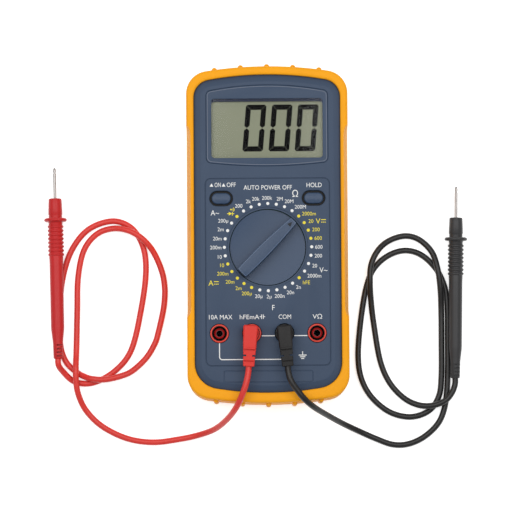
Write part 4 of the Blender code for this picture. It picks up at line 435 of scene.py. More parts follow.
def arched_end(half, reach, end_arc, corner):
    """Right corner, arched end and left corner of an outline that ends at +reach."""
    centre_y = reach - end_arc
    corner_x = half - corner
    corner_y = centre_y + math.sqrt((end_arc - corner) ** 2 - corner_x ** 2)
    meet = math.atan2(corner_y - centre_y, corner_x)
    right = arc((corner_x, corner_y), corner, 0.0, meet, 12)
    crown = arc((0.0, centre_y), end_arc, meet, math.pi - meet, 20)
    left = arc((-corner_x, corner_y), corner, math.pi - meet, math.pi, 12)
    return right + crown[1:-1] + left


def arched(shape, inset=0.0):
    """Points of (half width, top, bottom, two end arcs, two corners), drawn in by inset."""
    half, top, bottom, top_arc, bottom_arc, top_corner, bottom_corner = shape
    top_corner, bottom_corner = (max(corner - inset, LEAST_CORNER) for corner in (top_corner, bottom_corner))
    upper = arched_end(half - inset, top - inset, top_arc - inset, top_corner)
    lower = arched_end(half - inset, -bottom - inset, bottom_arc - inset, bottom_corner)
    return upper + [(-x, -y) for x, y in lower]


def rounded(width, height, corner, centre=(0.0, 0.0), steps=8):
    points = []
    for quarter, (sx, sy) in enumerate(((1, 1), (-1, 1), (-1, -1), (1, -1))):
        spot = (centre[0] + sx * (width / 2 - corner), centre[1] + sy * (height / 2 - corner))
        points += arc(spot, corner, quarter * math.pi / 2, (quarter + 1) * math.pi / 2, steps)
    return points


def stadium(length, width, centre=(0.0, 0.0)):
    half = (length - width) / 2
    right = arc((centre[0] + half, centre[1]), width / 2, -math.pi / 2, math.pi / 2, 20)
    left = arc((centre[0] - half, centre[1]), width / 2, math.pi / 2, 3 * math.pi / 2, 20)
    return right + left


def button_outline(inset=0.0, spot=(0.0, 0.0)):
    return stadium(BUTTON_LENGTH - 2 * inset, BUTTON_WIDTH - 2 * inset, spot)


def quarter_round(steps):
    """Pairs of shares (1 - cosine, 1 - sine) along a quarter turn, for rounding an edge."""
    turns = [math.pi / 2 * i / steps for i in range(steps + 1)]
    return [(1 - math.cos(turn), 1 - math.sin(turn)) for turn in turns]


def at_level(outline, z):
    return [(x, y, z) for x, y in outline]


CASE_OUTLINE = (CASE_HALF, CASE_TOP, -CASE_TOP, CASE_END_ARC, CASE_END_ARC, CASE_CORNER, CASE_CORNER)
FOOT_OUTLINE = (CASE_HALF, CASE_TOP, -CASE_TOP - HOLSTER_FLARE, *CASE_OUTLINE[3:])
HOLSTER_GROWTH = FIT + HOLSTER_WALL
HOLSTER_TOP = CASE_TOP + HOLSTER_GROWTH
OPENING = (HOLSTER_HALF - LIP_SIDE, HOLSTER_TOP - LIP_TOP, LIP_BOTTOM - HOLSTER_TOP,
           *OPENING_ARCS, *OPENING_CORNERS)
WINDOW = (WINDOW_HIGH.x + WINDOW_REACH, WINDOW_HIGH.y + WINDOW_REACH, WINDOW_LOW.y - WINDOW_REACH,
          *WINDOW_ARCS, WINDOW_CORNER, WINDOW_CORNER)
VIEW_Y = WINDOW_HIGH.y - VIEW_BELOW_WINDOW_TOP - VIEW_LENGTH / 2
LEDGE_Z = FACE_Z - FACE_STEP
FACE_BACK = FACE_Z - FACE_WALL
PANEL_TOP = middle("power_button").y + PANEL_ABOVE_BUTTONS
PANEL_BOTTOM = SOCKET_Y - PANEL_BELOW_SOCKETS
PLATE_Y = PANEL_BOTTOM - PLATE_BELOW_PANEL - PLATE_HEIGHT / 2


# Modelling

def select_only(piece):
    bpy.ops.object.select_all(action="DESELECT")
    piece.select_set(True)
    bpy.context.view_layer.objects.active = piece


def start_edit(piece):
    select_only(piece)
    bpy.ops.object.mode_set(mode="EDIT")


def end_edit():
    bpy.ops.object.mode_set(mode="OBJECT")


def loft(name, rings, closed=False):
    """A closed skin through rings of points, extruded from a circle one ring at a time."""
    bpy.ops.object.select_all(action="DESELECT")
    bpy.ops.mesh.primitive_circle_add(vertices=len(rings[0]))
    piece = bpy.context.active_object
    piece.name = name
    bpy.ops.object.mode_set(mode="EDIT")
    bpy.ops.mesh.select_mode(type="VERT")
    bpy.ops.mesh.select_all(action="SELECT")
    ring = list(bmesh.from_edit_mesh(piece.data).verts)
    move_ring(piece, ring, rings[0])
    first = {tuple(vert.co) for vert in ring}
    rest = rings[1:] + rings[:1] if closed else rings[1:]
    for points in rest:
        order = {tuple(vert.co): i for i, vert in enumerate(ring)}
        bpy.ops.mesh.extrude_edges_move()
        fresh = [vert for vert in bmesh.from_edit_mesh(piece.data).verts if vert.select]
        ring = sorted(fresh, key=lambda vert: order[tuple(vert.co)])
        move_ring(piece, ring, points)
    if not closed:
        bpy.ops.mesh.edge_face_add()
        bpy.ops.mesh.select_all(action="DESELECT")
        for vert in bmesh.from_edit_mesh(piece.data).verts:
            vert.select = tuple(vert.co) in first
        bmesh.from_edit_mesh(piece.data).select_flush(True)
        bpy.ops.mesh.edge_face_add()
    bpy.ops.mesh.select_all(action="SELECT")
    bpy.ops.mesh.remove_doubles(threshold=1e-6)
    bpy.ops.mesh.normals_make_consistent(inside=False)
    end_edit()
    return piece


def move_ring(piece, ring, points):
    for vert, point in zip(ring, points):
        vert.co = point
    bmesh.update_edit_mesh(piece.data)


def prism(name, outline, bottom, top):
    return loft(name, [at_level(outline, bottom), at_level(outline, top)])


def band(name, outer, inner, bottom, top):
    """A closed ring between two outlines."""
    return loft(name, [at_level(outer, bottom), at_level(outer, top), at_level(inner, top),
                       at_level(inner, bottom)], closed=True)


def turned(name, profile, steps=64, closed=False):
    """A profile of (radius, height) turned about Z."""
    return loft(name, [at_level(circle(radius, steps), z) for radius, z in profile], closed)


def place(piece, matrix):
    """Moves the mesh of a piece, whose object stays at the origin."""
    select_only(piece)
    piece.matrix_world = matrix @ piece.matrix_world
    bpy.ops.object.transform_apply(location=True, rotation=True, scale=True)
    return piece


def shift(piece, x, y, z=0.0):
    return place(piece, Matrix.Translation((x, y, z)))


def copy_at(piece, matrix, name):
    """A copy with a mesh of its own."""
    select_only(piece)
    bpy.ops.object.duplicate()
    copy = place(bpy.context.active_object, matrix)
    copy.name = name
    return copy


def apply_step(piece, kind, **values):
    """Adds a modifier with these values and applies it."""
    select_only(piece)
    step = piece.modifiers.new(kind.lower(), kind)
    for name, value in values.items():
        setattr(step, name, value)
    bpy.ops.object.modifier_apply(modifier=step.name)
    return piece


def combine(piece, tool, operation):
    apply_step(piece, "BOOLEAN", operation=operation, solver="EXACT", object=tool)
    bpy.data.objects.remove(tool)
    return piece


def carve(piece, *tools):
    for tool in tools:
        combine(piece, tool, "DIFFERENCE")
    return piece


def unite(piece, *tools):
    for tool in tools:
        combine(piece, tool, "UNION")
    return piece


def soften(piece, width, segments=3, angle=40.0):
    return apply_step(piece, "BEVEL", width=width, segments=segments, limit_method="ANGLE",
                      angle_limit=math.radians(angle), use_clamp_overlap=True)


def join_pieces(name, pieces):
    select_only(pieces[0])
    for piece in pieces[1:]:
        piece.select_set(True)
    if len(pieces) > 1:
        bpy.ops.object.join()
    pieces[0].name = name
    return pieces[0]


def block(name, size, centre):
    bpy.ops.object.select_all(action="DESELECT")
    bpy.ops.mesh.primitive_cube_add(size=1.0, location=centre, scale=size)
    piece = bpy.context.active_object
    piece.name = name
    bpy.ops.object.transform_apply(location=True, rotation=True, scale=True)
    return piece


def hand_over(piece, material, body, nodes=(), angle=32.0):
    """Shades a piece, gives it its finish and lets it ride on a body in place of its solids."""
    select_only(piece)
    bpy.ops.object.shade_smooth_by_angle(angle=math.radians(angle))
    piece.data.materials.clear()
    piece.data.materials.append(material)
    piece.data.name = piece.name
    if body:
        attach(piece, body)
    if nodes:
        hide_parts(*nodes)
    return piece


def refinish(piece, material, chosen):
    """Gives a second finish to the faces that chosen picks."""
    piece.data.materials.append(material)
    for face in piece.data.polygons:
        if chosen(face):
            face.material_index = 1


def lettering(text, height, centre, stretch=1.0, width=None):
    """Printed letters about centre with capitals of this height, drawn out to the width if it is given."""
    bpy.ops.object.select_all(action="DESELECT")
    bpy.ops.object.text_add()
    piece = bpy.context.active_object
    piece.data.body = text
    piece.data.size = height / CAPITAL_SHARE
    piece.data.align_x = "CENTER"
    piece.data.extrude = INK
    piece.data.resolution_u = 3
    bpy.ops.object.convert(target="MESH")
    if width:
        across = [vert.co.x for vert in piece.data.vertices]
        stretch = width / (max(across) - min(across))
    piece.location = (centre[0], centre[1] - height / 2, FACE_Z)
    piece.scale = (stretch, 1.0, 1.0)
    bpy.ops.object.transform_apply(location=True, rotation=True, scale=True)
    return piece


def printed(name, outline):
    """A flat shape printed on the face."""
    return prism(name, outline, FACE_Z - INK, FACE_Z + INK)


def from_spot(spot, points):
    """Places of points that are in millimetres from a spot."""
    return [(spot[0] + x * MM, spot[1] + y * MM) for x, y in points]


def stroke(start, end, width=LINE_WIDTH):
    """A printed straight line."""
    a, b = Vector(start), Vector(end)
    along = (b - a).normalized()
    side = Vector((-along.y, along.x)) * width / 2
    return printed("stroke", [tuple(a - side), tuple(b - side), tuple(b + side), tuple(a + side)])


def bent_stroke(centre, radius, start, end, width=LINE_WIDTH):
    """A printed line along an arc."""
    outer = arc(centre, radius + width / 2, start, end, LINE_STEPS)
    inner = arc(centre, radius - width / 2, end, start, LINE_STEPS)
    return printed("bend", outer + inner)


def sign(spot, ends, width=LINE_WIDTH):
    """Printed strokes whose ends are in millimetres from a spot."""
    return [stroke(*from_spot(spot, (row[:2], row[2:])), width) for row in ends]


# Finishes

GRAIN_HEIGHT = 0.05 * MM


def linear(colour):
    return (*Color(colour).from_srgb_to_scene_linear(), 1.0)


def feed(tree, socket, value):
    """Sets an input, or links it if the value is the output of another node."""
    if isinstance(value, bpy.types.NodeSocket):
        tree.links.new(value, socket)
    else:
        socket.default_value = value


def add_node(tree, kind, inputs=(), **settings):
    """A node with these settings, whose inputs are fed by label or by number."""
    node = tree.nodes.new(kind)
    for name, value in settings.items():
        setattr(node, name, value)
    for label, value in dict(inputs).items():
        feed(tree, node.inputs[label], value)
    return node


def reckon(tree, operation, *values):
    """The output of a Math node."""
    return add_node(tree, "ShaderNodeMath", enumerate(values), operation=operation).outputs["Value"]


def new_group(name, inputs, outputs):
    """An empty shader node group, with its inputs and their values and with its outputs."""
    group = bpy.data.node_groups.new(name, "ShaderNodeTree")
    for label, value in inputs.items():
        kind = "NodeSocketColor" if isinstance(value, tuple) else "NodeSocketFloat"
        group.interface.new_socket(label, in_out="INPUT", socket_type=kind).default_value = value
    for label, kind in outputs.items():
        group.interface.new_socket(label, in_out="OUTPUT", socket_type=kind)
    return group, group.nodes.new("NodeGroupInput").outputs, group.nodes.new("NodeGroupOutput").inputs


def object_noise(group, scale, detail, roughness):
    """Noise on Object coordinates."""
    position = add_node(group, "ShaderNodeTexCoord").outputs["Object"]
    noise = add_node(group, "ShaderNodeTexNoise", {
        "Vector": position, "Scale": scale, "Detail": detail, "Roughness": roughness})
    return noise.outputs["Fac"]


def tone_group():
    """Slow lightening and darkening of a colour over a surface."""
    if "tone_drift" in bpy.data.node_groups:
        return bpy.data.node_groups["tone_drift"]
    group, given, wanted = new_group(
        "tone_drift", {"Colour": (0.5, 0.5, 0.5, 1.0), "Amount": 0.1, "Scale": 60.0},
        {"Colour": "NodeSocketColor"})
    spread = add_node(group, "ShaderNodeMapRange", {
        "Value": object_noise(group, given["Scale"], 3.0, 0.5), "From Min": 0.3, "From Max": 0.7,
        "To Min": reckon(group, "SUBTRACT", 1.0, given["Amount"]),
        "To Max": reckon(group, "ADD", 1.0, given["Amount"])})
    shade = add_node(group, "ShaderNodeVectorMath", {
        "Vector": given["Colour"], "Scale": spread.outputs["Result"]}, operation="SCALE")
    feed(group, wanted["Colour"], shade.outputs["Vector"])
    return group


def grain_group():
    """Fine moulded grain: a height for the bump and a roughness that follows it."""
    if "moulded_grain" in bpy.data.node_groups:
        return bpy.data.node_groups["moulded_grain"]
    group, given, wanted = new_group(
        "moulded_grain", {"Scale": 2000.0, "Roughness": 0.5, "Spread": 0.1},
        {"Height": "NodeSocketFloat", "Roughness": "NodeSocketFloat"})
    noise = object_noise(group, given["Scale"], 2.0, 0.6)
    centred = reckon(group, "SUBTRACT", noise, 0.5)
    feed(group, wanted["Height"], noise)
    feed(group, wanted["Roughness"],
         reckon(group, "MULTIPLY_ADD", centred, given["Spread"], given["Roughness"]))
    return group


def grain_node(tree, scale, roughness, spread):
    return add_node(tree, "ShaderNodeGroup", {"Scale": scale, "Roughness": roughness, "Spread": spread},
                    node_tree=grain_group())


def finish(name, colour, roughness, grain=2500.0, bump=0.15, spread=0.15, drift=0.05, drift_scale=45.0,
           metallic=0.0, specular=0.22, sheen=0.0):
    """A moulded, rubber or metal surface with drifting tone and fine grain."""
    label = name + "_finish"
    if label in bpy.data.materials:
        return bpy.data.materials[label]
    made = bpy.data.materials.new(label)
    made.use_nodes = True
    tree = made.node_tree
    tone = add_node(tree, "ShaderNodeGroup", {
        "Colour": linear(colour), "Amount": drift, "Scale": drift_scale}, node_tree=tone_group())
    texture = grain_node(tree, grain, roughness, spread)
    relief = add_node(tree, "ShaderNodeBump", {"Strength": bump, "Distance": GRAIN_HEIGHT,
                                               "Height": texture.outputs["Height"]})
    values = {"Base Color": tone.outputs["Colour"], "Roughness": texture.outputs["Roughness"],
              "Normal": relief.outputs["Normal"], "Metallic": metallic, "Specular IOR Level": specular,
              "Sheen Weight": sheen}
    for socket, value in values.items():
        feed(tree, tree.nodes["Principled BSDF"].inputs[socket], value)
    return made


def bare_material(name):
    """A material whose shader is still to be made."""
    made = bpy.data.materials.new(name)
    made.use_nodes = True
    made.node_tree.nodes.remove(made.node_tree.nodes["Principled BSDF"])
    return made, made.node_tree


def show(tree, shader):
    feed(tree, tree.nodes["Material Output"].inputs["Surface"], shader.outputs["Shader"])


def clear_finish(name, roughness, gloss):
    """A clear pane that shows only a share of the gloss on its surface."""
    made, tree = bare_material(name)
    texture = grain_node(tree, 400.0, roughness, roughness / 2)
    mirror = add_node(tree, "ShaderNodeBsdfGlossy", {"Roughness": texture.outputs["Roughness"]})
    clear = add_node(tree, "ShaderNodeBsdfTransparent")
    share = reckon(tree, "MULTIPLY", add_node(tree, "ShaderNodeFresnel").outputs["Fac"], gloss)
    show(tree, add_node(tree, "ShaderNodeMixShader", {
        "Fac": share, 1: clear.outputs["BSDF"], 2: mirror.outputs["BSDF"]}))
    return made


COLOUR = {"subtype": "COLOR_GAMMA", "size": 3, "min": 0.0, "max": 1.0}
LENGTH = {"unit": "LENGTH", "min": 0.1 * MM}


class MeterFinishes(bpy.types.PropertyGroup):
    """Colours of the meter and its leads."""

    holster: FloatVectorProperty(name="Holster", description="Rubber of the holster",
                                 default=(0.965, 0.65, 0.085), **COLOUR)
    case: FloatVectorProperty(name="Case", description="Plastic of the case, knob and buttons",
                              default=(0.23, 0.29, 0.378), **COLOUR)
    white_ink: FloatVectorProperty(name="White Ink", description="Main print on the dial",
                                   default=(0.93, 0.93, 0.92), **COLOUR)
    yellow_ink: FloatVectorProperty(name="Yellow Ink", description="Print of the direct current ranges",
                                    default=(0.93, 0.86, 0.24), **COLOUR)
    lcd: FloatVectorProperty(name="Display", description="Unlit display",
                             default=(0.53, 0.545, 0.46), **COLOUR)
    digit: FloatVectorProperty(name="Digits", description="Dark segments of the display",
                               default=(0.012, 0.012, 0.012), **COLOUR)
    red: FloatVectorProperty(name="Red Lead", description="Cord and plug of the red lead",
                             default=(0.85, 0.22, 0.19), **COLOUR)
    black: FloatVectorProperty(name="Black Lead", description="Cord and plug of the black lead",
                               default=(0.14, 0.135, 0.135), **COLOUR)


class MeterSizes(bpy.types.PropertyGroup):
    """Sizes of the print, the digits and the pointer, which no other piece depends on."""

    label_height: FloatProperty(name="Labels", description="Height of the numbers round the dial",
                                default=2.3 * MM, **LENGTH)
    caption_height: FloatProperty(name="Captions", description="Height of the words on the face",
                                  default=2.75 * MM, **LENGTH)
    sign_height: FloatProperty(name="Signs", description="Height of the letters with direct current bars",
                               default=3.2 * MM, **LENGTH)
    dot_radius: FloatProperty(name="Dots", description="Radius of the dots round the knob",
                              default=0.9 * MM, **LENGTH)
    digit_stroke: FloatProperty(name="Digits", description="Thickness of the segments of the display",
                                default=3.05 * MM, **LENGTH)
    pointer_length: FloatProperty(name="Pointer Length", description="Length of the mark on the knob",
                                  default=2.9 * MM, **LENGTH)
    pointer_width: FloatProperty(name="Pointer Width", description="Width of the mark on the knob",
                                 default=2.5 * MM, **LENGTH)


class MeterStage(bpy.types.PropertyGroup):
    """Camera and light."""

    tilt: FloatProperty(name="Tilt", description="Lean of the camera from straight above", subtype="ANGLE",
                        default=math.radians(3.2))
    roll: FloatProperty(name="Roll", description="Turn of the picture", subtype="ANGLE",
                        default=math.radians(-0.37))
    distance: FloatProperty(name="Distance", description="From the camera to its target", unit="LENGTH",
                            default=1.8, min=0.1)
    lens: FloatProperty(name="Lens", description="Focal length in millimetres", unit="CAMERA",
                        default=216.0, min=1.0)
    target: FloatVectorProperty(name="Target", description="Point in the middle of the picture",
                                subtype="TRANSLATION", size=3, default=(-0.0069, -0.0129, 0.034))
    box_power: FloatProperty(name="Soft Boxes", description="Watts of each of the two lamps overhead",
                             unit="POWER", default=6.1, min=0.0)
    box_gap: FloatProperty(name="Gap", description="Space between the lamps, where the camera looks through",
                           unit="LENGTH", default=0.08, min=0.0)
    sky: FloatProperty(name="Sky", description="Strength of the even light from all round",
                       default=0.44, min=0.0)


# Shared finishes

def colours():
    return bpy.context.scene.meter_finishes


def measures():
    return bpy.context.scene.meter_sizes


def case_finish():
    return finish("case_plastic", colours().case, 0.46, grain=2600.0, bump=0.22, drift=0.03)


def control_finish():
    """A little bluer and glossier than the case."""
    red, green, blue = colours().case
    return finish("control_plastic", (red - 0.035, green - 0.018, blue), 0.36, grain=2600.0, bump=0.14,
                  drift=0.03, specular=0.36)


def edge_highlight_finish():
    """Paler: a painted highlight on the rounded top edges of the knob's bar."""
    red, green, blue = colours().case
    return finish("polished_edge", (red + 0.07, green + 0.08, blue + 0.1), 0.3, grain=2600.0, bump=0.08,
                  drift=0.03, specular=0.4)


def holster_finish():
    return finish("holster_rubber", colours().holster, 0.55, grain=1500.0, bump=0.12, drift=0.03,
                  drift_scale=30.0, specular=0.16, sheen=0.04)


def lead_finish(colour):
    roughness, drift = {"red": (0.38, 0.04), "black": (0.40, 0.10)}[colour]
    return finish(colour + "_lead_rubber", getattr(colours(), colour), roughness, grain=900.0, bump=0.08,
                  drift=drift, specular=0.17)


def cord_finish(colour):
    share = {"red": 1.0, "black": 0.75}[colour]
    tint = [share * value for value in getattr(colours(), colour)]
    return finish(colour + "_cord_rubber", tint, 0.36, grain=900.0, bump=0.06, drift=0.05, specular=0.4)


def probe_finish(colour):
    return finish(colour + "_probe_plastic", PROBE_TINTS[colour], 0.32, grain=1800.0, bump=0.06, drift=0.04)


def nickel_finish():
    return finish("nickel_plate", (0.64, 0.62, 0.61), 0.3, grain=1200.0, bump=0.05, metallic=1.0)


def brass_finish():
    return finish("brass_sleeve", (0.80, 0.70, 0.48), 0.30, grain=1500.0, bump=0.05, metallic=1.0)


# Nickel darkened to little more than half: painted shade deep in the socket's bore.
def shaded_sleeve_finish():
    return finish("contact_sleeve", (0.36, 0.35, 0.34), 0.34, grain=1200.0, bump=0.05, metallic=1.0)


def dark_finish():
    return finish("black_moulding", (0.07, 0.07, 0.075), 0.42, grain=1600.0, bump=0.08)


# Holster and case

def build_holster():
    """The rubber skin, whose lower end leans out towards its foot."""
    growth, edge = HOLSTER_GROWTH, HOLSTER_EDGE
    turns = quarter_round(HOLSTER_STEPS)
    rings = [at_level(arched(FOOT_OUTLINE, edge * inset - growth), edge * rise) for rise, inset in turns]
    rings += [at_level(arched(CASE_OUTLINE, edge * inset - growth), LIP_Z - edge * drop)
              for inset, drop in turns]
    rings += [at_level(arched(OPENING, -LIP_ROUND * out), LIP_Z - LIP_DROP * drop) for drop, out in turns]
    rings += [at_level(arched(OPENING), LEDGE_Z + FIT), at_level(arched(CASE_OUTLINE, -FIT), LEDGE_Z + FIT),
              at_level(arched(CASE_OUTLINE, -FIT), HOLSTER_BACK)]
    holster = loft("holster_rubber", rings)
    unite(holster, holster_ribs())
    carve(holster, grip_wedge(1), grip_wedge(-1), stand_window())
    hand_over(holster, holster_finish(), "meter", ("holster",))


def holster_ribs():
    """Round ribs up both ends, with domed tops, that follow the lean of the lower end."""
    lean = math.atan(HOLSTER_FLARE / LIP_Z)
    end_arc = CASE_END_ARC + HOLSTER_GROWTH
    low, high = RIB_END_MARGIN + RIB_RADIUS, LIP_Z - RIB_END_MARGIN - RIB_RADIUS
    dome = [(RIB_RADIUS * math.cos(turn), RIB_RADIUS * math.sin(turn)) for turn in RIB_DOME]
    profile = [(radius, low - z) for radius, z in reversed(dome)]
    profile += [(radius, high + z) for radius, z in dome]
    first = turned("rib", profile, 24)
    ribs = []
    for i in range(RIB_COUNT):
        x = (i - (RIB_COUNT - 1) / 2) * RIB_PITCH
        y = HOLSTER_TOP - end_arc + math.sqrt(end_arc ** 2 - x ** 2)
        ribs.append(copy_at(first, Matrix.Translation((x, y, 0.0)), "rib"))
        ribs.append(copy_at(first, Matrix.Translation((x, -y, LIP_Z)) @ Matrix.Rotation(-lean, 4, "X")
                            @ Matrix.Translation((0.0, 0.0, -LIP_Z)), "rib"))
    bpy.data.objects.remove(first)
    return join_pieces("ribs", ribs)


def grip_wedge(side):
    """The sloping cut along one side of the lip, with rounded ends."""
    slope = GRIP_WIDTH / GRIP_HEIGHT
    top, low = LIP_Z + OVERCUT, LIP_Z - GRIP_HEIGHT - OVERCUT
    outer = HOLSTER_HALF + 2 * OVERCUT
    half = GRIP_LENGTH / 2
    fade = [(half - GRIP_RUNOUT * short, GRIP_DRAWBACK * back) for short, back in quarter_round(GRIP_STEPS)]
    sections = []
    for y, back in [(-y, back) for y, back in fade] + fade[::-1]:
        inner_top = HOLSTER_HALF - GRIP_WIDTH - slope * OVERCUT + back
        inner_low = HOLSTER_HALF + slope * OVERCUT + back
        section = [(inner_top, top), (inner_low, low), (outer + back, low), (outer + back, top)]
        sections.append([(side * x, GRIP_CENTRE + y, z) for x, z in section])
    return loft("grip", sections)


def stand_window():
    """Opening in the back of the holster that the stand folds through."""
    low, high = corners("tilt_stand")
    width = high.x - low.x - STAND_PIVOTS + 2 * STAND_MARGIN
    bottom, top = low.y - STAND_MARGIN, high.y + STAND_MARGIN
    outline = rounded(width, top - bottom, STAND_CORNER, (0.0, (top + bottom) / 2))
    return prism("stand_window", outline, -OVERCUT, HOLSTER_BACK + OVERCUT)


def build_front_case():
    def opening(across, z):
        return at_level(arched(OPENING, LIP_GAP + FACE_SLOPE * across), z)
    shelf = LEDGE_Z - FACE_WALL
    rings = [opening(1.0, FACE_BACK), opening(1.0, shelf), at_level(arched(CASE_OUTLINE, CASE_WALL), shelf),
             at_level(arched(CASE_OUTLINE, CASE_WALL), SEAM_Z), at_level(arched(CASE_OUTLINE), SEAM_Z),
             at_level(arched(CASE_OUTLINE), LEDGE_Z)]
    rings += [opening(across, LEDGE_Z + FACE_STEP * up) for across, up in FACE_BORDER]
    front = loft("front_case_shell", rings)
    carve(front, *window_cutters(), *control_cutters(), *groove_cutters())
    hand_over(front, case_finish(), "meter", ("front_case",), angle=28.0)


def rounded_mouth(outline_at, depth, edge, name):
    """A cutter whose mouth flares by edge in a quarter round."""
    rings = [at_level(outline_at(0.0), depth)]
    rings += [at_level(outline_at(edge * flare), FACE_Z - edge * drop)
              for flare, drop in quarter_round(ROUND_STEPS)]
    rings.append(at_level(outline_at(edge), FACE_Z + OVERCUT))
    return loft(name, rings)


def window_cutters():
    seat = rounded_mouth(lambda grow: arched(WINDOW, -FIT - grow), WINDOW_LOW.z - FIT, MOUTH_EDGE,
                         "window_seat")
    opening = rounded(VIEW_WIDTH, VIEW_LENGTH, VIEW_CORNER, (0.0, VIEW_Y))
    return seat, prism("view", opening, FACE_BACK - OVERCUT, FACE_Z)


def control_cutters():
    back = FACE_BACK - OVERCUT
    hole = KNOB_RADIUS + KNOB_GAP
    step = hole + KNOB_STEP_WIDTH
    cutters = [prism("knob_hole", circle(hole, KNOB_STEPS, KNOB_AXIS.xy), back, FACE_Z + OVERCUT),
               rounded_mouth(lambda grow: circle(step + grow, KNOB_STEPS, KNOB_AXIS.xy),
                             FACE_Z - KNOB_STEP_DEPTH, KNOB_STEP_EDGE, "knob_step")]
    for node in BUTTONS:
        spot = middle(node).xy
        cutters.append(rounded_mouth(lambda grow, spot=spot: button_outline(-BUTTON_GAP - grow, spot),
                                     back, BUTTON_CHAMFER, "button_hole"))
    for x in SOCKET_XS:
        cutters.append(rounded_mouth(lambda grow, x=x: circle(SOCKET_RADIUS + FIT + grow, 64, (x, SOCKET_Y)),
                                     back, MOUTH_EDGE, "socket_hole"))
    return cutters


def groove_cutters():
    width = 2 * (HOLSTER_HALF - LIP_SIDE - PANEL_MARGIN)
    panel = groove(width, PANEL_TOP - PANEL_BOTTOM, PANEL_CORNER, (0.0, (PANEL_TOP + PANEL_BOTTOM) / 2))
    plate = groove(PLATE_LENGTH, PLATE_HEIGHT, PLATE_CORNER, (0.0, PLATE_Y), GROOVE_DEPTH / 2)
    return panel, plate


def groove(width, height, corner, centre, depth=GROOVE_DEPTH):
    """A ring cutter with a narrow floor for a fine line round a panel."""
    def line(grow, z):
        return at_level(rounded(width + 2 * grow, height + 2 * grow, corner + grow, centre), z)
    half = GROOVE_WIDTH / 2
    floor = half * GROOVE_FLOOR
    return loft("groove", [line(-half, FACE_Z + OVERCUT), line(-half, FACE_Z), line(-floor, FACE_Z - depth),
                           line(floor, FACE_Z - depth), line(half, FACE_Z), line(half, FACE_Z + OVERCUT)],
                closed=True)


# Display

def build_window():
    """The printed window with its clear opening, a pale line of painted highlight round it and a dark strip
    of painted shade above the digits.
    """
    rings = [at_level(arched(WINDOW, -WINDOW_GROWTH), WINDOW_LOW.z)]
    rings += [at_level(arched(WINDOW, WINDOW_EDGE * inset - WINDOW_GROWTH), FACE_Z - WINDOW_EDGE * drop)
              for inset, drop in quarter_round(ROUND_STEPS)]
    border = loft("window_border", rings)
    length = VIEW_LENGTH + VIEW_SHADE
    centre = (0.0, VIEW_Y + VIEW_SHADE / 2)
    opening = rounded(VIEW_WIDTH, length, VIEW_CORNER, centre)
    carve(border, prism("view", opening, WINDOW_LOW.z - OVERCUT, FACE_Z + OVERCUT))
    gloss = finish("window_print", colours().case, 0.22, grain=900.0, bump=0.02, drift=0.03, specular=0.16)
    hand_over(border, gloss, "meter", ("display_window",))
    pane = prism("window_pane", rounded(VIEW_WIDTH - PANE_PLAY, length - PANE_PLAY, VIEW_CORNER, centre),
                 FACE_Z - PANE_DROP - PANE_THICKNESS, FACE_Z - PANE_DROP)
    hand_over(pane, clear_finish("window_clear", 0.08, 0.25), "meter", ())
    # A pale line just inside the window's edge: a painted highlight of the light its rounded edge catches.
    bead = band("window_bead", arched(WINDOW, WINDOW_LINE_INSET),
                arched(WINDOW, WINDOW_LINE_INSET + WINDOW_LINE), FACE_Z - INK, FACE_Z + INK)
    edge_highlight = finish("window_edge", (0.42, 0.45, 0.51), 0.3, grain=900.0, bump=0.02)
    hand_over(bead, edge_highlight, "meter", ())
    # A dark strip above the digits: painted shade, where the window's edge shades the display.
    shade = block("window_shade", (VIEW_WIDTH, VIEW_SHADE, INK),
                  (0.0, VIEW_Y + VIEW_LENGTH / 2 + VIEW_SHADE / 2, WINDOW_LOW.z))
    soften(shade, INK / 4, 2)
    dim = finish("window_shade", (0.09, 0.13, 0.23), 0.5, grain=900.0, bump=0.02)
    hand_over(shade, dim, "meter", ())


def build_lcd():
    low, high = corners("lcd_panel")
    outline = rounded(high.x - low.x, high.y - low.y, LCD_CORNER, (0.0, VIEW_Y))
    glass = loft("lcd_glass", [at_level(outline, z) for z in (low.z, high.z - LCD_EDGE, high.z)])
    grey = finish("lcd_glass", colours().lcd, 0.35, grain=500.0, bump=0.02, drift=0.03, drift_scale=25.0,
                  specular=0.1)
    hand_over(glass, grey, "meter", ("lcd_panel",))
    segments = []
    for i in range(DIGIT_COUNT):
        left = LAST_DIGIT_X - (DIGIT_COUNT - 1 - i) * DIGIT_PITCH
        segments += zero_segments(left, VIEW_Y - VIEW_LENGTH / 2 + DIGIT_FOOT)
    ink = finish("lcd_segments", colours().digit, 0.6, grain=600.0, bump=0.02, drift=0.2, specular=0.0)
    hand_over(join_pieces("lcd_digits", segments), ink, "meter", ())


def zero_segments(left, foot):
    """The six lit segments of a slanted 0, mitred where they meet."""
    w, h, s, chip = DIGIT_WIDTH, DIGIT_HEIGHT, measures().digit_stroke, DIGIT_CHIP
    gap, waist = DIGIT_GAP, h / 2 + DIGIT_WAIST_GAP
    outside, inside = (waist + s * slope for slope in DIGIT_WAIST_SLOPES)
    top = [(chip / 2 + gap, h - chip / 2), (chip, h), (w - chip, h), (w - chip / 2 - gap, h - chip / 2),
           (w - s - gap, h - s), (s + gap, h - s)]
    side = [(chip / 2, h - chip / 2 - gap), (0.0, h - chip), (0.0, outside), (s / 2, waist), (s, inside),
            (s, h - s - gap)]
    outlines = [top, [(x, h - y) for x, y in top], side, [(x, h - y) for x, y in side],
                [(w - x, y) for x, y in side], [(w - x, h - y) for x, y in side]]
    pieces = []
    for outline in outlines:
        points = [(left + x + DIGIT_SLANT * y, foot + y) for x, y in outline]
        pieces.append(prism("segment", points, LCD_TOP - INK, LCD_TOP + INK))
    return pieces


# Selector and buttons

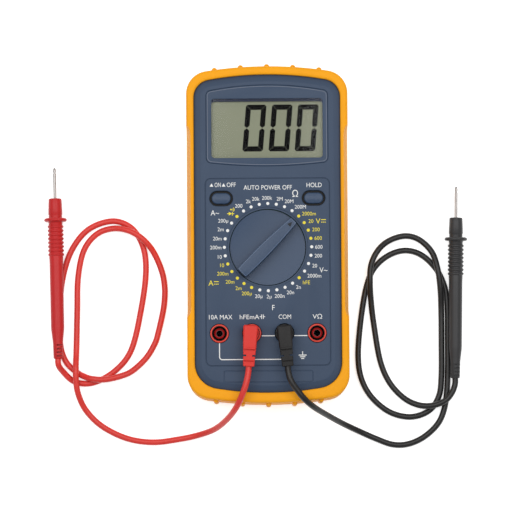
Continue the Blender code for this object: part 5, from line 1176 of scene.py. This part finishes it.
def build_selector():
    back = corners("selector_knob")[0].z
    top = FACE_Z + KNOB_RISE
    at_rest = Matrix.Translation((*KNOB_AXIS.xy, 0.0)) @ Matrix.Rotation(KNOB_REST_ANGLE, 4, "Z")
    profile = [(KNOB_RADIUS, back)]
    profile += [(KNOB_RADIUS - KNOB_EDGE * inset, top - KNOB_EDGE * drop)
                for inset, drop in quarter_round(ROUND_STEPS)]
    knob = turned("selector_knob_cap", profile, KNOB_STEPS)
    for side in (-1, 1):
        scoop = turned("scoop", [(SCOOP_RADIUS, -KNOB_RADIUS * 2), (SCOOP_RADIUS, KNOB_RADIUS * 2)], 256)
        place(scoop, Matrix.Translation((side * SCOOP_OFFSET, 0.0, top - SCOOP_DEPTH + SCOOP_RADIUS))
              @ Matrix.Rotation(math.pi / 2, 4, "X"))
        carve(knob, scoop)
    unite(knob, pointer_bar(top))
    place(knob, at_rest)
    hand_over(knob, control_finish(), "selector", ("selector_knob",), angle=25.0)
    # The sloping faces along the top of the bar get the paler finish, a painted highlight.
    least, most = HIGHLIGHT_SLOPES
    refinish(knob, edge_highlight_finish(),
             lambda face: face.center.z > KNOB_TOP - BAR_EDGE and least < face.normal.z < most)
    tip = KNOB_RADIUS - BAR_MARGIN - POINTER_FROM_TIP
    foot, half = tip - measures().pointer_length, measures().pointer_width / 2
    mark = prism("pointer_mark", [(0.0, tip), (-half, foot), (half, foot)], KNOB_TOP - INK, KNOB_TOP + INK)
    place(mark, at_rest)
    hand_over(mark, finish("pointer_ink", (0.16, 0.17, 0.19), 0.6), "selector", ())


def pointer_bar(top):
    """The tapered bar across the knob, tip at +Y."""
    def outline(grow):
        tip_half, tail_half = BAR_TIP / 2 + grow, BAR_TAIL / 2 + grow
        reach = KNOB_RADIUS - BAR_MARGIN + grow
        tip_y = math.sqrt(reach ** 2 - tip_half ** 2)
        tail_y = -math.sqrt(reach ** 2 - tail_half ** 2)
        right = []
        for i in range(BAR_STEPS + 1):
            share = i / BAR_STEPS
            half = tail_half + (tip_half - tail_half) * share + BAR_BOW * math.sin(math.pi * share)
            right.append((half, tail_y + (tip_y - tail_y) * share))
        return right + [(-x, y) for x, y in reversed(right)]
    base = top - SCOOP_DEPTH - OVERCUT
    made = loft("pointer_bar", [at_level(outline(BAR_DRAFT), base), at_level(outline(0.0), KNOB_TOP)])
    return soften(made, BAR_EDGE, 3)


def build_buttons():
    """The caps, each with the flange that holds it behind the face and the stem that reaches its switch."""
    low, high = corners(BUTTONS[0])
    flange_top = FACE_BACK - FIT
    flange_low = flange_top - BUTTON_FLANGE_HEIGHT
    stem = stadium(BUTTON_STEM * 2 + INK, BUTTON_STEM * 2)
    flange = button_outline(-BUTTON_GAP - BUTTON_FLANGE)
    rings = [at_level(stem, low.z), at_level(stem, flange_low), at_level(flange, flange_low),
             at_level(flange, flange_top), at_level(button_outline(), flange_top)]
    rings += [at_level(button_outline(BUTTON_EDGE * inset), high.z - BUTTON_CROWN - BUTTON_EDGE * drop)
              for inset, drop in quarter_round(BUTTON_STEPS)]
    for share in BUTTON_CROWN_RINGS:
        inset = BUTTON_WIDTH / 2 - (BUTTON_WIDTH / 2 - BUTTON_EDGE) * share
        rings.append(at_level(button_outline(inset), high.z - BUTTON_CROWN * share ** 2))
    model = loft("button_cap", rings)
    for node in BUTTONS:
        cap = copy_at(model, Matrix.Translation((*middle(node).xy, 0.0)), node + "_cap")
        hand_over(cap, control_finish(), node, (node,), angle=40.0)
        # The flange's faces behind the face get the dark finish: painted shade in the gap round the cap.
        refinish(cap, dark_finish(), lambda face: face.center.z < FACE_BACK)
    bpy.data.objects.remove(model)


# Sockets

def build_sockets():
    ring, top, edge = SOCKET_RADIUS - SOCKET_RING, SOCKET_TOP, SOCKET_EDGE
    low = corners("socket_10a")[0].z
    floor, tube_top = top - SHROUD_DEPTH, top - TUBE_DROP
    rim = [(ring, floor), (ring, top - edge), (ring + edge, top), (SOCKET_RADIUS - 2 * edge, top),
           (SOCKET_RADIUS - edge * 0.6, top - edge * 0.6), (SOCKET_RADIUS, top - 2 * edge),
           (SOCKET_RADIUS, low), (ring, low)]
    lining = [(ring - edge, top - 2 * edge), (ring - INK, top - 2 * edge), (ring - INK, low + FIT),
              (TUBE_RADIUS, low + FIT), (TUBE_RADIUS, floor), (ring - edge, floor)]
    tube_wall, eye = TUBE_RADIUS - 2 * edge, TUBE_EYE - edge / 2
    tube = [(TUBE_RADIUS, floor + FIT), (TUBE_RADIUS, tube_top - edge), (TUBE_RADIUS - edge, tube_top),
            (TUBE_EYE + 2 * edge, tube_top - edge), (TUBE_EYE, tube_top - 2 * edge),
            (TUBE_EYE, tube_top - 4 * edge), (tube_wall, tube_top - 5 * edge), (tube_wall, floor + FIT)]
    sleeve_top, sleeve_radius = tube_top - 6 * edge, TUBE_RADIUS - 3 * edge
    base = corners("contact_10a")[0].z
    sleeve = [(eye, sleeve_top), (sleeve_radius, sleeve_top), (sleeve_radius, base),
              (sleeve_radius - SLEEVE_WALL / 2, base), (eye, sleeve_top - 2 * edge)]
    models = [turned(name, profile, steps, closed=True) for name, profile, steps in (
        ("socket_ring", rim, 64), ("socket_lining", lining, 48), ("socket_tube", tube, 48),
        ("contact_sleeve", sleeve, 40))]
    for name, x in zip(SOCKETS, SOCKET_XS):
        shade = "black" if name == "com" else "red"
        slot = "socket_" + shade
        ring_finish, tube_finish = (finish(slot + kind, tint, 0.35, bump=0.05)
                                    for kind, tint in zip(("_ring", "_tube"), SOCKET_TINTS[shade]))
        uses = ((ring_finish, ("socket_" + name,), slot), (dark_finish(), (), "socket_black"),
                (tube_finish, (), slot), (shaded_sleeve_finish(), ("contact_" + name,), "brass"))
        for model, (material, nodes, its_slot) in zip(models, uses):
            piece = copy_at(model, Matrix.Translation((x, SOCKET_Y, 0.0)), model.name + "_" + name)
            hand_over(piece, material, "meter", nodes)
    for model in models:
        bpy.data.objects.remove(model)


# Print on the dial

def build_print():
    white, yellow = [], []
    centre = KNOB_AXIS.xy + PRINT_SHIFT
    dot = printed("dot", circle(measures().dot_radius, 24))
    for i, (label, is_yellow, degrees) in enumerate(DIAL):
        ink = yellow if is_yellow else white
        turn = 2 * math.pi * i / len(DIAL)
        spot = centre + DOT_CIRCLE * Vector((math.sin(turn), math.cos(turn)))
        ink.append(copy_at(dot, Matrix.Translation((*spot, 0.0)), "dot"))
        if label:
            height = measures().label_height
            words = lettering(label, height, (0.0, 0.0), LABEL_STRETCH)
            across, up = math.sin(math.radians(degrees)), math.cos(math.radians(degrees))
            push = words.dimensions.x / 2 * abs(across) + height / 2 * abs(up)
            reach = LABEL_CIRCLE + LABEL_PUSH * push + LABEL_EXTRA.get(i, 0.0)
            ink.append(shift(words, *(centre + reach * Vector((across, up)))))
    bpy.data.objects.remove(dot)
    white += captions() + socket_lines() + sign((GROUND_X, SOCKET_Y - GROUND_DROP), GROUND_SIGN)
    white += sign((CAPACITOR_X, SOCKET_Y + SOCKET_CAPTION_RISE), CAPACITOR_SIGN, SIGN_LINE)
    yellow += diode_sign()
    for letter, x, y in DC_UNITS:
        spot = (x * MM, y * MM)
        yellow += [lettering(letter, measures().sign_height, spot)] + sign(spot, DC_SIGN, DC_LINE)
    for name, pieces, tint in (("white", white, colours().white_ink),
                               ("yellow", yellow, colours().yellow_ink)):
        ink = finish(name + "_ink", tint, 0.5, bump=0.05, drift=0.02)
        hand_over(join_pieces("dial_print_" + name, pieces), ink, "meter", ())


def captions():
    """White words, units and arrows away from the dial's circle."""
    line = SOCKET_Y + SOCKET_CAPTION_RISE
    words = [(text, (x * MM, y * MM), width) for text, x, y, width in CAPTIONS]
    words += [(text, (x * MM, line), width) for text, x, width in SOCKET_CAPTIONS]
    height = measures().caption_height
    pieces = [lettering(text, height, spot, width=width * MM) for text, spot, width in words]
    pieces += [lettering(text, tall * MM, (x * MM, y * MM), UNIT_STRETCH) for text, x, y, tall in UNITS]
    pieces += [printed("arrow", from_spot((x * MM, y * MM), ARROW)) for x, y in ARROW_SPOTS]
    return pieces


def socket_lines():
    """The line from the first socket to the third one, and the links between the last three."""
    low, corner = SOCKET_Y - SOCKET_LINE_DROP, SOCKET_LINE_CORNER
    left, right = SOCKET_XS[0], SOCKET_XS[2] + SOCKET_LINE_PAST
    reach = SOCKET_RADIUS + FIT
    level = SOCKET_Y - LINK_DROP
    pieces = [stroke((left, SOCKET_Y - reach), (left, low + corner)),
              stroke((left + corner, low), (right, low)),
              bent_stroke((left + corner, low + corner), corner, math.pi, 1.5 * math.pi)]
    pieces += [stroke((SOCKET_XS[i] + reach, level), (SOCKET_XS[i + 1] - reach, level)) for i in (1, 2)]
    return pieces


def diode_sign():
    """A diode with a bell and its sound waves, at the place on the dial that has no number."""
    turn = 2 * math.pi * DIODE_PLACE / len(DIAL)
    out_x, out_y = DIODE_OUT
    spot = (KNOB_AXIS.x + math.sin(turn) * (LABEL_CIRCLE + out_x),
            KNOB_AXIS.y + math.cos(turn) * (LABEL_CIRCLE + out_y))
    bell, waves = from_spot(spot, (BELL, WAVES))
    pieces = [printed("diode", from_spot(spot, DIODE_ARROW)), printed("bell", circle(BELL_RADIUS, 12, bell))]
    pieces += [bent_stroke(waves, radius, -WAVE_TURN, WAVE_TURN, WAVE_LINE) for radius in WAVE_RADII]
    return pieces + sign(spot, DIODE_SIGN, SIGN_LINE)


# Test leads

def plug_frame(colour):
    spot = Vector((SOCKET_XS[PLUG_SOCKETS[colour]], SOCKET_Y, 0.0))
    return Matrix.Translation(spot) @ Matrix.Rotation(PLUG_ANGLES[colour], 4, "Z")


def plug_levels():
    bottom = SOCKET_TOP + PLUG_GAP
    top = bottom + PLUG_HEIGHT
    return bottom, top, top - PLUG_TAIL_HEIGHT / 2


def plug_section(y, width, low, high, edge):
    """A bevelled cross-section of the plug at y."""
    return [(x, y, z + (low + high) / 2) for x, z in rounded(width, high - low, edge, steps=3)]


def plug_block(name, bottom, top):
    """The block over the socket, rounded at the front and narrower towards its tail."""
    edge = PLUG_EDGE
    back = -PLUG_BLOCK
    rings = []
    for set_back, drawn_in in quarter_round(PLUG_STEPS):
        y, inset = PLUG_FRONT - edge * set_back, edge * drawn_in
        width = PLUG_WIDTH + (PLUG_WAIST - PLUG_WIDTH) * (PLUG_FRONT - y) / (PLUG_FRONT + PLUG_BLOCK)
        rings.append(plug_section(y, width - 2 * inset, bottom + inset, top - inset, edge))
    rings.append(plug_section(back + edge / 2, PLUG_WAIST, bottom, top, edge))
    rings.append(plug_section(back, PLUG_WAIST - edge, bottom + edge / 2, top - edge / 2, edge))
    return loft(name, rings)


def plug_tail(top):
    low, step = top - PLUG_TAIL_HEIGHT, PLUG_TAIL_STEP
    return loft("plug_tail", [plug_section(y, width, low + up * step, top - down * step, PLUG_TAIL_EDGE)
                              for y, width, up, down in (
                                  (PLUG_EDGE - PLUG_BLOCK, PLUG_WAIST - 2 * step, 0, 1),
                                  (4 * step - PLUG_END, PLUG_TAIL, 2, 3),
                                  (-PLUG_END, PLUG_TAIL - 6 * step, 5, 6))])


def plug_moulding():
    """A plug's block and its slotted tail, still without the shroud."""
    bottom, top, cord_z = plug_levels()
    moulding = plug_block("plug_moulding", bottom, top)
    unite(moulding, plug_tail(top))
    room = PLUG_WIDTH * 2
    for i in range(PLUG_SLOTS):
        y = -PLUG_BLOCK - PLUG_SLOT - i * PLUG_SLOT_STEP
        for side in (-1, 1):
            reach = side * (PLUG_CORE + room) / 2
            spot = (reach, y, cord_z) if i == 1 else (0.0, y, cord_z + reach)
            carve(moulding, soften(block("plug_slot", (room, PLUG_SLOT, room), spot), PLUG_SLOT_EDGE, 2))
    return moulding


def build_plug(moulding, colour):
    """A copy of the moulding with the shroud that goes into the socket."""
    aside = Matrix.Translation((PLUG_SHIFTS[colour], 0.0, 0.0))
    plug = copy_at(moulding, aside, colour + "_plug_moulding")
    outer = SOCKET_RADIUS - SOCKET_RING - (SHROUD_SLOT - SHROUD_WALL) / 2
    inner = outer - SHROUD_WALL
    root, end = plug_levels()[0] + OVERCUT, SOCKET_TOP - SHROUD_DEPTH + OVERCUT
    shroud = [(inner, root), (outer, root), (outer, end), (inner, end)]
    unite(plug, turned("plug_shroud", shroud, 40, closed=True))
    place(plug, plug_frame(colour))
    return hand_over(plug, lead_finish(colour), colour + "_plug", (colour + "_plug",),
                     angle=30.0)


def pin_profile():
    tip = corners("red_plug_pin")[0].z
    return [(PIN_RADIUS / 2, tip), (PIN_RADIUS * 0.9, tip + PIN_RADIUS * 0.3),
            (PIN_RADIUS, tip + PIN_RADIUS / 2), (PIN_RADIUS, plug_levels()[0] + PIN_ROOT)]


def probe_frame(colour):
    return (Matrix.Translation(PROBE_ENDS[colour]) @ Matrix.Rotation(PROBE_TURNS[colour], 4, "Z")
            @ Matrix.Rotation(-PROBE_DIPS[colour], 4, "X") @ Matrix.Rotation(-math.pi / 2, 4, "X"))


def ring_profile(start, base):
    """Profile of one rounded ring of the handle and the gap after it."""
    profile = []
    for i in range(RING_STEPS):
        share = i / RING_STEPS
        swell = math.sin(math.pi * share) ** RING_FULLNESS
        profile.append((base + (RING_RADIUS - base) * swell, start - RING_PITCH * RING_SHARE * share))
    return profile + [(base, start - RING_PITCH * RING_FOOT)]


def handle_profile():
    """Radius and height from the needle's hole over the nose, the finger guard and the rings to the cord."""
    edge, front = PROBE_EDGE, PROBE_LENGTH
    hole = NEEDLE_RADIUS + edge
    nose_end, guard = front - NOSE_LENGTH, front - FLANGE_START
    profile = [(hole, front - NEEDLE_IN), (hole, front - 2 * edge), (hole + 2 * edge, front),
               (NOSE_TIP_RADIUS - 5 * edge, front), (NOSE_TIP_RADIUS - edge, front - 1.5 * edge),
               (NOSE_TIP_RADIUS + edge, front - 6 * edge), (NOSE_RADIUS, nose_end + 4 * edge),
               (NOSE_RADIUS - 2 * edge, nose_end), (NECK_RADIUS, nose_end - 1.5 * edge),
               (NECK_RADIUS, guard + edge)]
    for i in range(FLANGE_STEPS + 1):
        turn = math.pi * i / FLANGE_STEPS
        profile.append((FLANGE_RADIUS - FLANGE_EDGE * (1 - math.sin(turn)),
                        guard - FLANGE_THICKNESS / 2 * (1 - math.cos(turn))))
    after = guard - FLANGE_THICKNESS
    profile += [(NOSE_RADIUS + 3 * edge, after - edge / 2), (NOSE_RADIUS, after - 4 * edge)]
    for i in range(RING_COUNT):
        profile += ring_profile(front - RING_START - i * RING_PITCH, NOSE_RADIUS - 1.5 * edge)
    rings_end, grip_end = front - RING_START - RING_COUNT * RING_PITCH, front - HANDLE_END
    profile += [(NOSE_RADIUS - edge / 2, rings_end), (HANDLE_RADIUS + edge / 2, rings_end - HANDLE_TAPER),
                (HANDLE_RADIUS - edge / 2, grip_end + 10 * edge),
                (HANDLE_RADIUS - 1.5 * edge, grip_end - 5 * edge),
                (RELIEF_RADIUS + 2 * edge, front - RELIEF_START), (RELIEF_RADIUS, 4 * edge),
                (RELIEF_RADIUS - 3 * edge, 0.0)]
    return profile


def needle_profile():
    edge, tip = PROBE_EDGE, PROBE_LENGTH + NEEDLE_OUT
    groove_at = tip - NEEDLE_POINT - NEEDLE_GROOVE
    waist = NEEDLE_RADIUS - 2 * edge
    profile = [(radius * MM, tip - below * MM) for radius, below in NEEDLE_TIP]
    return profile + [(NEEDLE_RADIUS, tip - NEEDLE_POINT), (NEEDLE_RADIUS, groove_at),
                      (waist, groove_at - 1.5 * edge), (waist, groove_at - NEEDLE_RADIUS),
                      (NEEDLE_RADIUS, groove_at - NEEDLE_RADIUS - 1.5 * edge),
                      (NEEDLE_RADIUS, PROBE_LENGTH - NEEDLE_IN + edge)]


def probe_handle():
    """A probe's handle with the half slots of its strain relief."""
    handle = turned("probe_grip", handle_profile(), 48)
    reach = 2 * HANDLE_RADIUS
    for i in range(RELIEF_SLOTS):
        for side in (-1, 1):
            spot = (side * (reach / 2 - RELIEF_CORE / 3), -side * (reach + RELIEF_CORE / 3) / 2,
                    RELIEF_PITCH * (i + RELIEF_FIRST))
            carve(handle, block("relief_slot", (reach, reach, RELIEF_SLOT), spot))
    return handle


def spline_point(points, i, t):
    """A point of the Catmull-Rom curve through points, t of the way from point i to the next."""
    before = points[max(i - 1, 0)]
    start, end = points[i], points[i + 1]
    after = points[min(i + 2, len(points) - 1)]
    return 0.5 * (2 * start + (end - before) * t + (2 * before - 5 * start + 4 * end - after) * t ** 2
                  + (3 * start - before - 3 * end + after) * t ** 3)


def cord_path(colour):
    """Points of a lead from its plug to its probe, at short even steps."""
    _, _, cord_z = plug_levels()
    turn, dip = PROBE_TURNS[colour], PROBE_DIPS[colour]
    out = Vector((math.sin(PLUG_ANGLES[colour]), -math.cos(PLUG_ANGLES[colour]), 0.0))
    start = plug_frame(colour) @ Vector((PLUG_SHIFTS[colour], CORD_SINK - PLUG_END, cord_z))
    back = Vector((math.sin(turn) * math.cos(dip), -math.cos(turn) * math.cos(dip), math.sin(dip)))
    end = PROBE_ENDS[colour] - back * CORD_SINK
    rest = CORD_RADIUS + CORD_CLEAR
    route = [Vector((x * MM, y * MM, z * MM + rest)) for x, y, z in CORD_ROUTES[colour]]
    points = [start, start + out * CORD_STRAIGHT] + route + [end + back * CORD_STRAIGHT, end]
    path = []
    for i in range(len(points) - 1):
        steps = max(2, round((points[i + 1] - points[i]).length / CORD_STEP))
        path += [spline_point(points, i, step / steps) for step in range(steps)]
    path.append(points[-1])
    for point in path:
        point.z = max(point.z, rest)
    return path


def build_cord(colour):
    path = cord_path(colour)
    curve = bpy.data.curves.new(colour + "_lead", "CURVE")
    curve.dimensions = "3D"
    curve.bevel_depth = CORD_RADIUS
    curve.bevel_resolution = 5
    curve.use_fill_caps = True
    curve.twist_mode = "MINIMUM"
    line = curve.splines.new("POLY")
    line.points.add(len(path) - 1)
    for knot, point in zip(line.points, path):
        knot.co = (*point, 1.0)
    cord = bpy.data.objects.new(colour + "_lead", curve)
    bpy.context.scene.collection.objects.link(cord)
    select_only(cord)
    bpy.ops.object.convert(target="MESH")
    start_edit(cord)
    bpy.ops.mesh.select_all(action="SELECT")
    bpy.ops.mesh.remove_doubles(threshold=1e-6)
    bpy.ops.mesh.normals_make_consistent(inside=False)
    end_edit()
    hand_over(cord, cord_finish(colour), None, (colour + "_cord",), angle=60.0)
    exit_point = path[0]
    low = exit_point.copy()
    low.z = 4 * CORD_RADIUS
    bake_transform(cord)


def build_leads():
    """Models a plug, a pin, a handle and a needle once, and copies them to both leads."""
    moulding, handle = plug_moulding(), probe_handle()
    pin, needle = turned("pin", pin_profile(), 32), turned("needle", needle_profile(), 32)
    for colour in ("red", "black"):
        plug = build_plug(moulding, colour)
        its_pin = copy_at(pin, plug_frame(colour), colour + "_pin")
        hand_over(its_pin, nickel_finish(), colour + "_plug", (colour + "_plug_pin",))
        grip = copy_at(handle, probe_frame(colour), colour + "_probe_grip")
        hand_over(grip, probe_finish(colour), "meter", (colour + "_probe_handle",),
                  angle=40.0)
        point = copy_at(needle, probe_frame(colour), colour + "_needle")
        hand_over(point, nickel_finish(), "meter", (colour + "_probe_needle",))
        build_cord(colour)
    for model in (moulding, pin, handle, needle):
        bpy.data.objects.remove(model)


# Solids that stay as they are

INNER_FINISHES = {
    "rear_case": case_finish,
    "battery_cover": case_finish,
    "tilt_stand": case_finish,
    "circuit_board": lambda: finish("board_laminate", (0.10, 0.40, 0.20), 0.45, grain=600.0, drift=0.10),
    "battery": lambda: finish("battery_wrap", (0.20, 0.20, 0.21), 0.35, grain=500.0, drift=0.06),
    "main_chip": dark_finish,
    "buzzer": brass_finish,
    "shunt_wire": lambda: finish("copper_wire", (0.78, 0.50, 0.38), 0.30, grain=800.0, metallic=1.0),
    "zebra": lambda: finish("elastomer_strip", (0.78, 0.62, 0.62), 0.7, grain=2500.0, drift=0.08),
    "fuse_clip": brass_finish,
    "fuse": lambda: finish("fuse_glass", (0.80, 0.82, 0.82), 0.2, grain=400.0, drift=0.04),
    "wiper": brass_finish,
    "detent": nickel_finish,
}


def inner_finish(node):
    for start, make in INNER_FINISHES.items():
        if node.startswith(start):
            return make()
    if "screw" in node:
        return finish("steel_screw", (0.66, 0.66, 0.66), 0.35, grain=900.0, metallic=1.0)
    return dark_finish()


def dress_solids():
    """Gives every solid a finish, also those that nothing shows."""
    for name, solid in frame["nodes"].items():
        solid.data.materials.clear()
        solid.data.materials.append(inner_finish(name))


# Stage

def build_floor():
    """White paper whose glow is seen and mirrored but casts no light on the meter."""
    bpy.ops.object.select_all(action="DESELECT")
    bpy.ops.mesh.primitive_plane_add(size=FLOOR_SIZE)
    floor = bpy.context.active_object
    floor.name = "floor"
    floor.location.z = -INK
    paper, tree = bare_material("white_paper")
    diffuse = add_node(tree, "ShaderNodeBsdfDiffuse", {"Color": FLOOR_TINT})
    rays = add_node(tree, "ShaderNodeLightPath").outputs
    bounced = reckon(tree, "MAXIMUM", rays["Is Glossy Ray"], rays["Is Transmission Ray"])
    seen = reckon(tree, "MAXIMUM", rays["Is Camera Ray"], bounced)
    glow = add_node(tree, "ShaderNodeEmission", {"Strength": reckon(tree, "MULTIPLY", seen, FLOOR_GLOW)})
    show(tree, add_node(tree, "ShaderNodeAddShader", {
        0: diffuse.outputs["BSDF"], 1: glow.outputs["Emission"]}))
    floor.data.materials.append(paper)


def add_lamp(name, spot, size, power):
    """A square lamp that shines straight down."""
    bpy.ops.object.select_all(action="DESELECT")
    bpy.ops.object.light_add(type="AREA", location=spot)
    lamp = bpy.context.active_object
    lamp.name = name
    lamp.data.size = size
    lamp.data.energy = power


def build_stage():
    stage = bpy.context.scene.meter_stage
    bpy.context.scene.view_settings.view_transform = "Standard"
    build_floor()
    world = bpy.data.worlds.new("even_light")
    bpy.context.scene.world = world
    world.use_nodes = True
    sky = world.node_tree.nodes["Background"].inputs
    sky["Color"].default_value = (1.0, 1.0, 1.0, 1.0)
    sky["Strength"].default_value = stage.sky
    for side, name in ((-1, "left_box"), (1, "right_box")):
        spot = (side * (BOX_SIZE + stage.box_gap) / 2, BOX_ALONG, BOX_HEIGHT)
        add_lamp(name, spot, BOX_SIZE, stage.box_power)
    turn = Matrix.Rotation(stage.tilt, 4, "X") @ Matrix.Rotation(stage.roll, 4, "Z")
    target = Vector(stage.target)
    forward = turn @ Vector((0.0, 0.0, -1.0))
    camera = bpy.data.cameras.new("camera")
    camera.lens = stage.lens
    camera.sensor_width = SENSOR_WIDTH
    camera.clip_end = FAR_CLIP
    viewer = bpy.data.objects.new("camera", camera)
    bpy.context.scene.collection.objects.link(viewer)
    viewer.matrix_world = Matrix.Translation(target - forward * stage.distance) @ turn
    bpy.context.scene.camera = viewer


# Operators

class MeterOperator:
    bl_options = {"REGISTER", "UNDO"}


class METER_OT_stage(MeterOperator, bpy.types.Operator):
    """Sets up the floor, the light and the camera"""
    bl_idname = "meter.stage"
    bl_label = "Stage"

    def execute(self, context):
        build_stage()
        return {"FINISHED"}


class METER_OT_solids(MeterOperator, bpy.types.Operator):
    """Gives the solids of the frame their finishes"""
    bl_idname = "meter.solids"
    bl_label = "Inner Pieces"

    def execute(self, context):
        dress_solids()
        return {"FINISHED"}


class METER_OT_leads(MeterOperator, bpy.types.Operator):
    """Models the plugs, the cords and the probes"""
    bl_idname = "meter.leads"
    bl_label = "Test Leads"

    def execute(self, context):
        build_leads()
        return {"FINISHED"}


class METER_OT_holster(MeterOperator, bpy.types.Operator):
    """Models the rubber holster"""
    bl_idname = "meter.holster"
    bl_label = "Holster"

    def execute(self, context):
        build_holster()
        return {"FINISHED"}


class METER_OT_case(MeterOperator, bpy.types.Operator):
    """Models the front of the case"""
    bl_idname = "meter.front_case"
    bl_label = "Front Case"

    def execute(self, context):
        build_front_case()
        return {"FINISHED"}


class METER_OT_display(MeterOperator, bpy.types.Operator):
    """Models the window, the display and its digits"""
    bl_idname = "meter.display"
    bl_label = "Display"

    def execute(self, context):
        build_window()
        build_lcd()
        return {"FINISHED"}


class METER_OT_selector(MeterOperator, bpy.types.Operator):
    """Models the selector knob and its pointer"""
    bl_idname = "meter.selector"
    bl_label = "Selector"

    def execute(self, context):
        build_selector()
        return {"FINISHED"}


class METER_OT_buttons(MeterOperator, bpy.types.Operator):
    """Models the two push buttons"""
    bl_idname = "meter.buttons"
    bl_label = "Buttons"

    def execute(self, context):
        build_buttons()
        return {"FINISHED"}


class METER_OT_sockets(MeterOperator, bpy.types.Operator):
    """Models the four sockets"""
    bl_idname = "meter.sockets"
    bl_label = "Sockets"

    def execute(self, context):
        build_sockets()
        return {"FINISHED"}


class METER_OT_print(MeterOperator, bpy.types.Operator):
    """Prints the dial and the captions on the face"""
    bl_idname = "meter.dial_print"
    bl_label = "Dial Print"

    def execute(self, context):
        build_print()
        return {"FINISHED"}


OPERATORS = (METER_OT_stage, METER_OT_solids, METER_OT_leads, METER_OT_holster, METER_OT_case,
             METER_OT_display, METER_OT_selector, METER_OT_buttons, METER_OT_sockets, METER_OT_print)


class METER_PT_panel(bpy.types.Panel):
    """Lists the steps that model the meter"""
    bl_idname = "METER_PT_panel"
    bl_label = "Multimeter"
    bl_space_type = "VIEW_3D"
    bl_region_type = "UI"
    bl_category = "Multimeter"

    def draw(self, context):
        for step in OPERATORS:
            self.layout.operator(step.bl_idname)


CLASSES = (MeterFinishes, MeterSizes, MeterStage, *OPERATORS, METER_PT_panel)


def register():
    for made in CLASSES:
        bpy.utils.register_class(made)
    bpy.types.Scene.meter_finishes = PointerProperty(type=MeterFinishes)
    bpy.types.Scene.meter_sizes = PointerProperty(type=MeterSizes)
    bpy.types.Scene.meter_stage = PointerProperty(type=MeterStage)


def unregister():
    del bpy.types.Scene.meter_finishes
    del bpy.types.Scene.meter_sizes
    del bpy.types.Scene.meter_stage
    for made in reversed(CLASSES):
        bpy.utils.unregister_class(made)


def main():
    register()
    for step in OPERATORS:
        space, name = step.bl_idname.split(".")
        getattr(getattr(bpy.ops, space), name)()


if __name__ == "__main__":
    main()
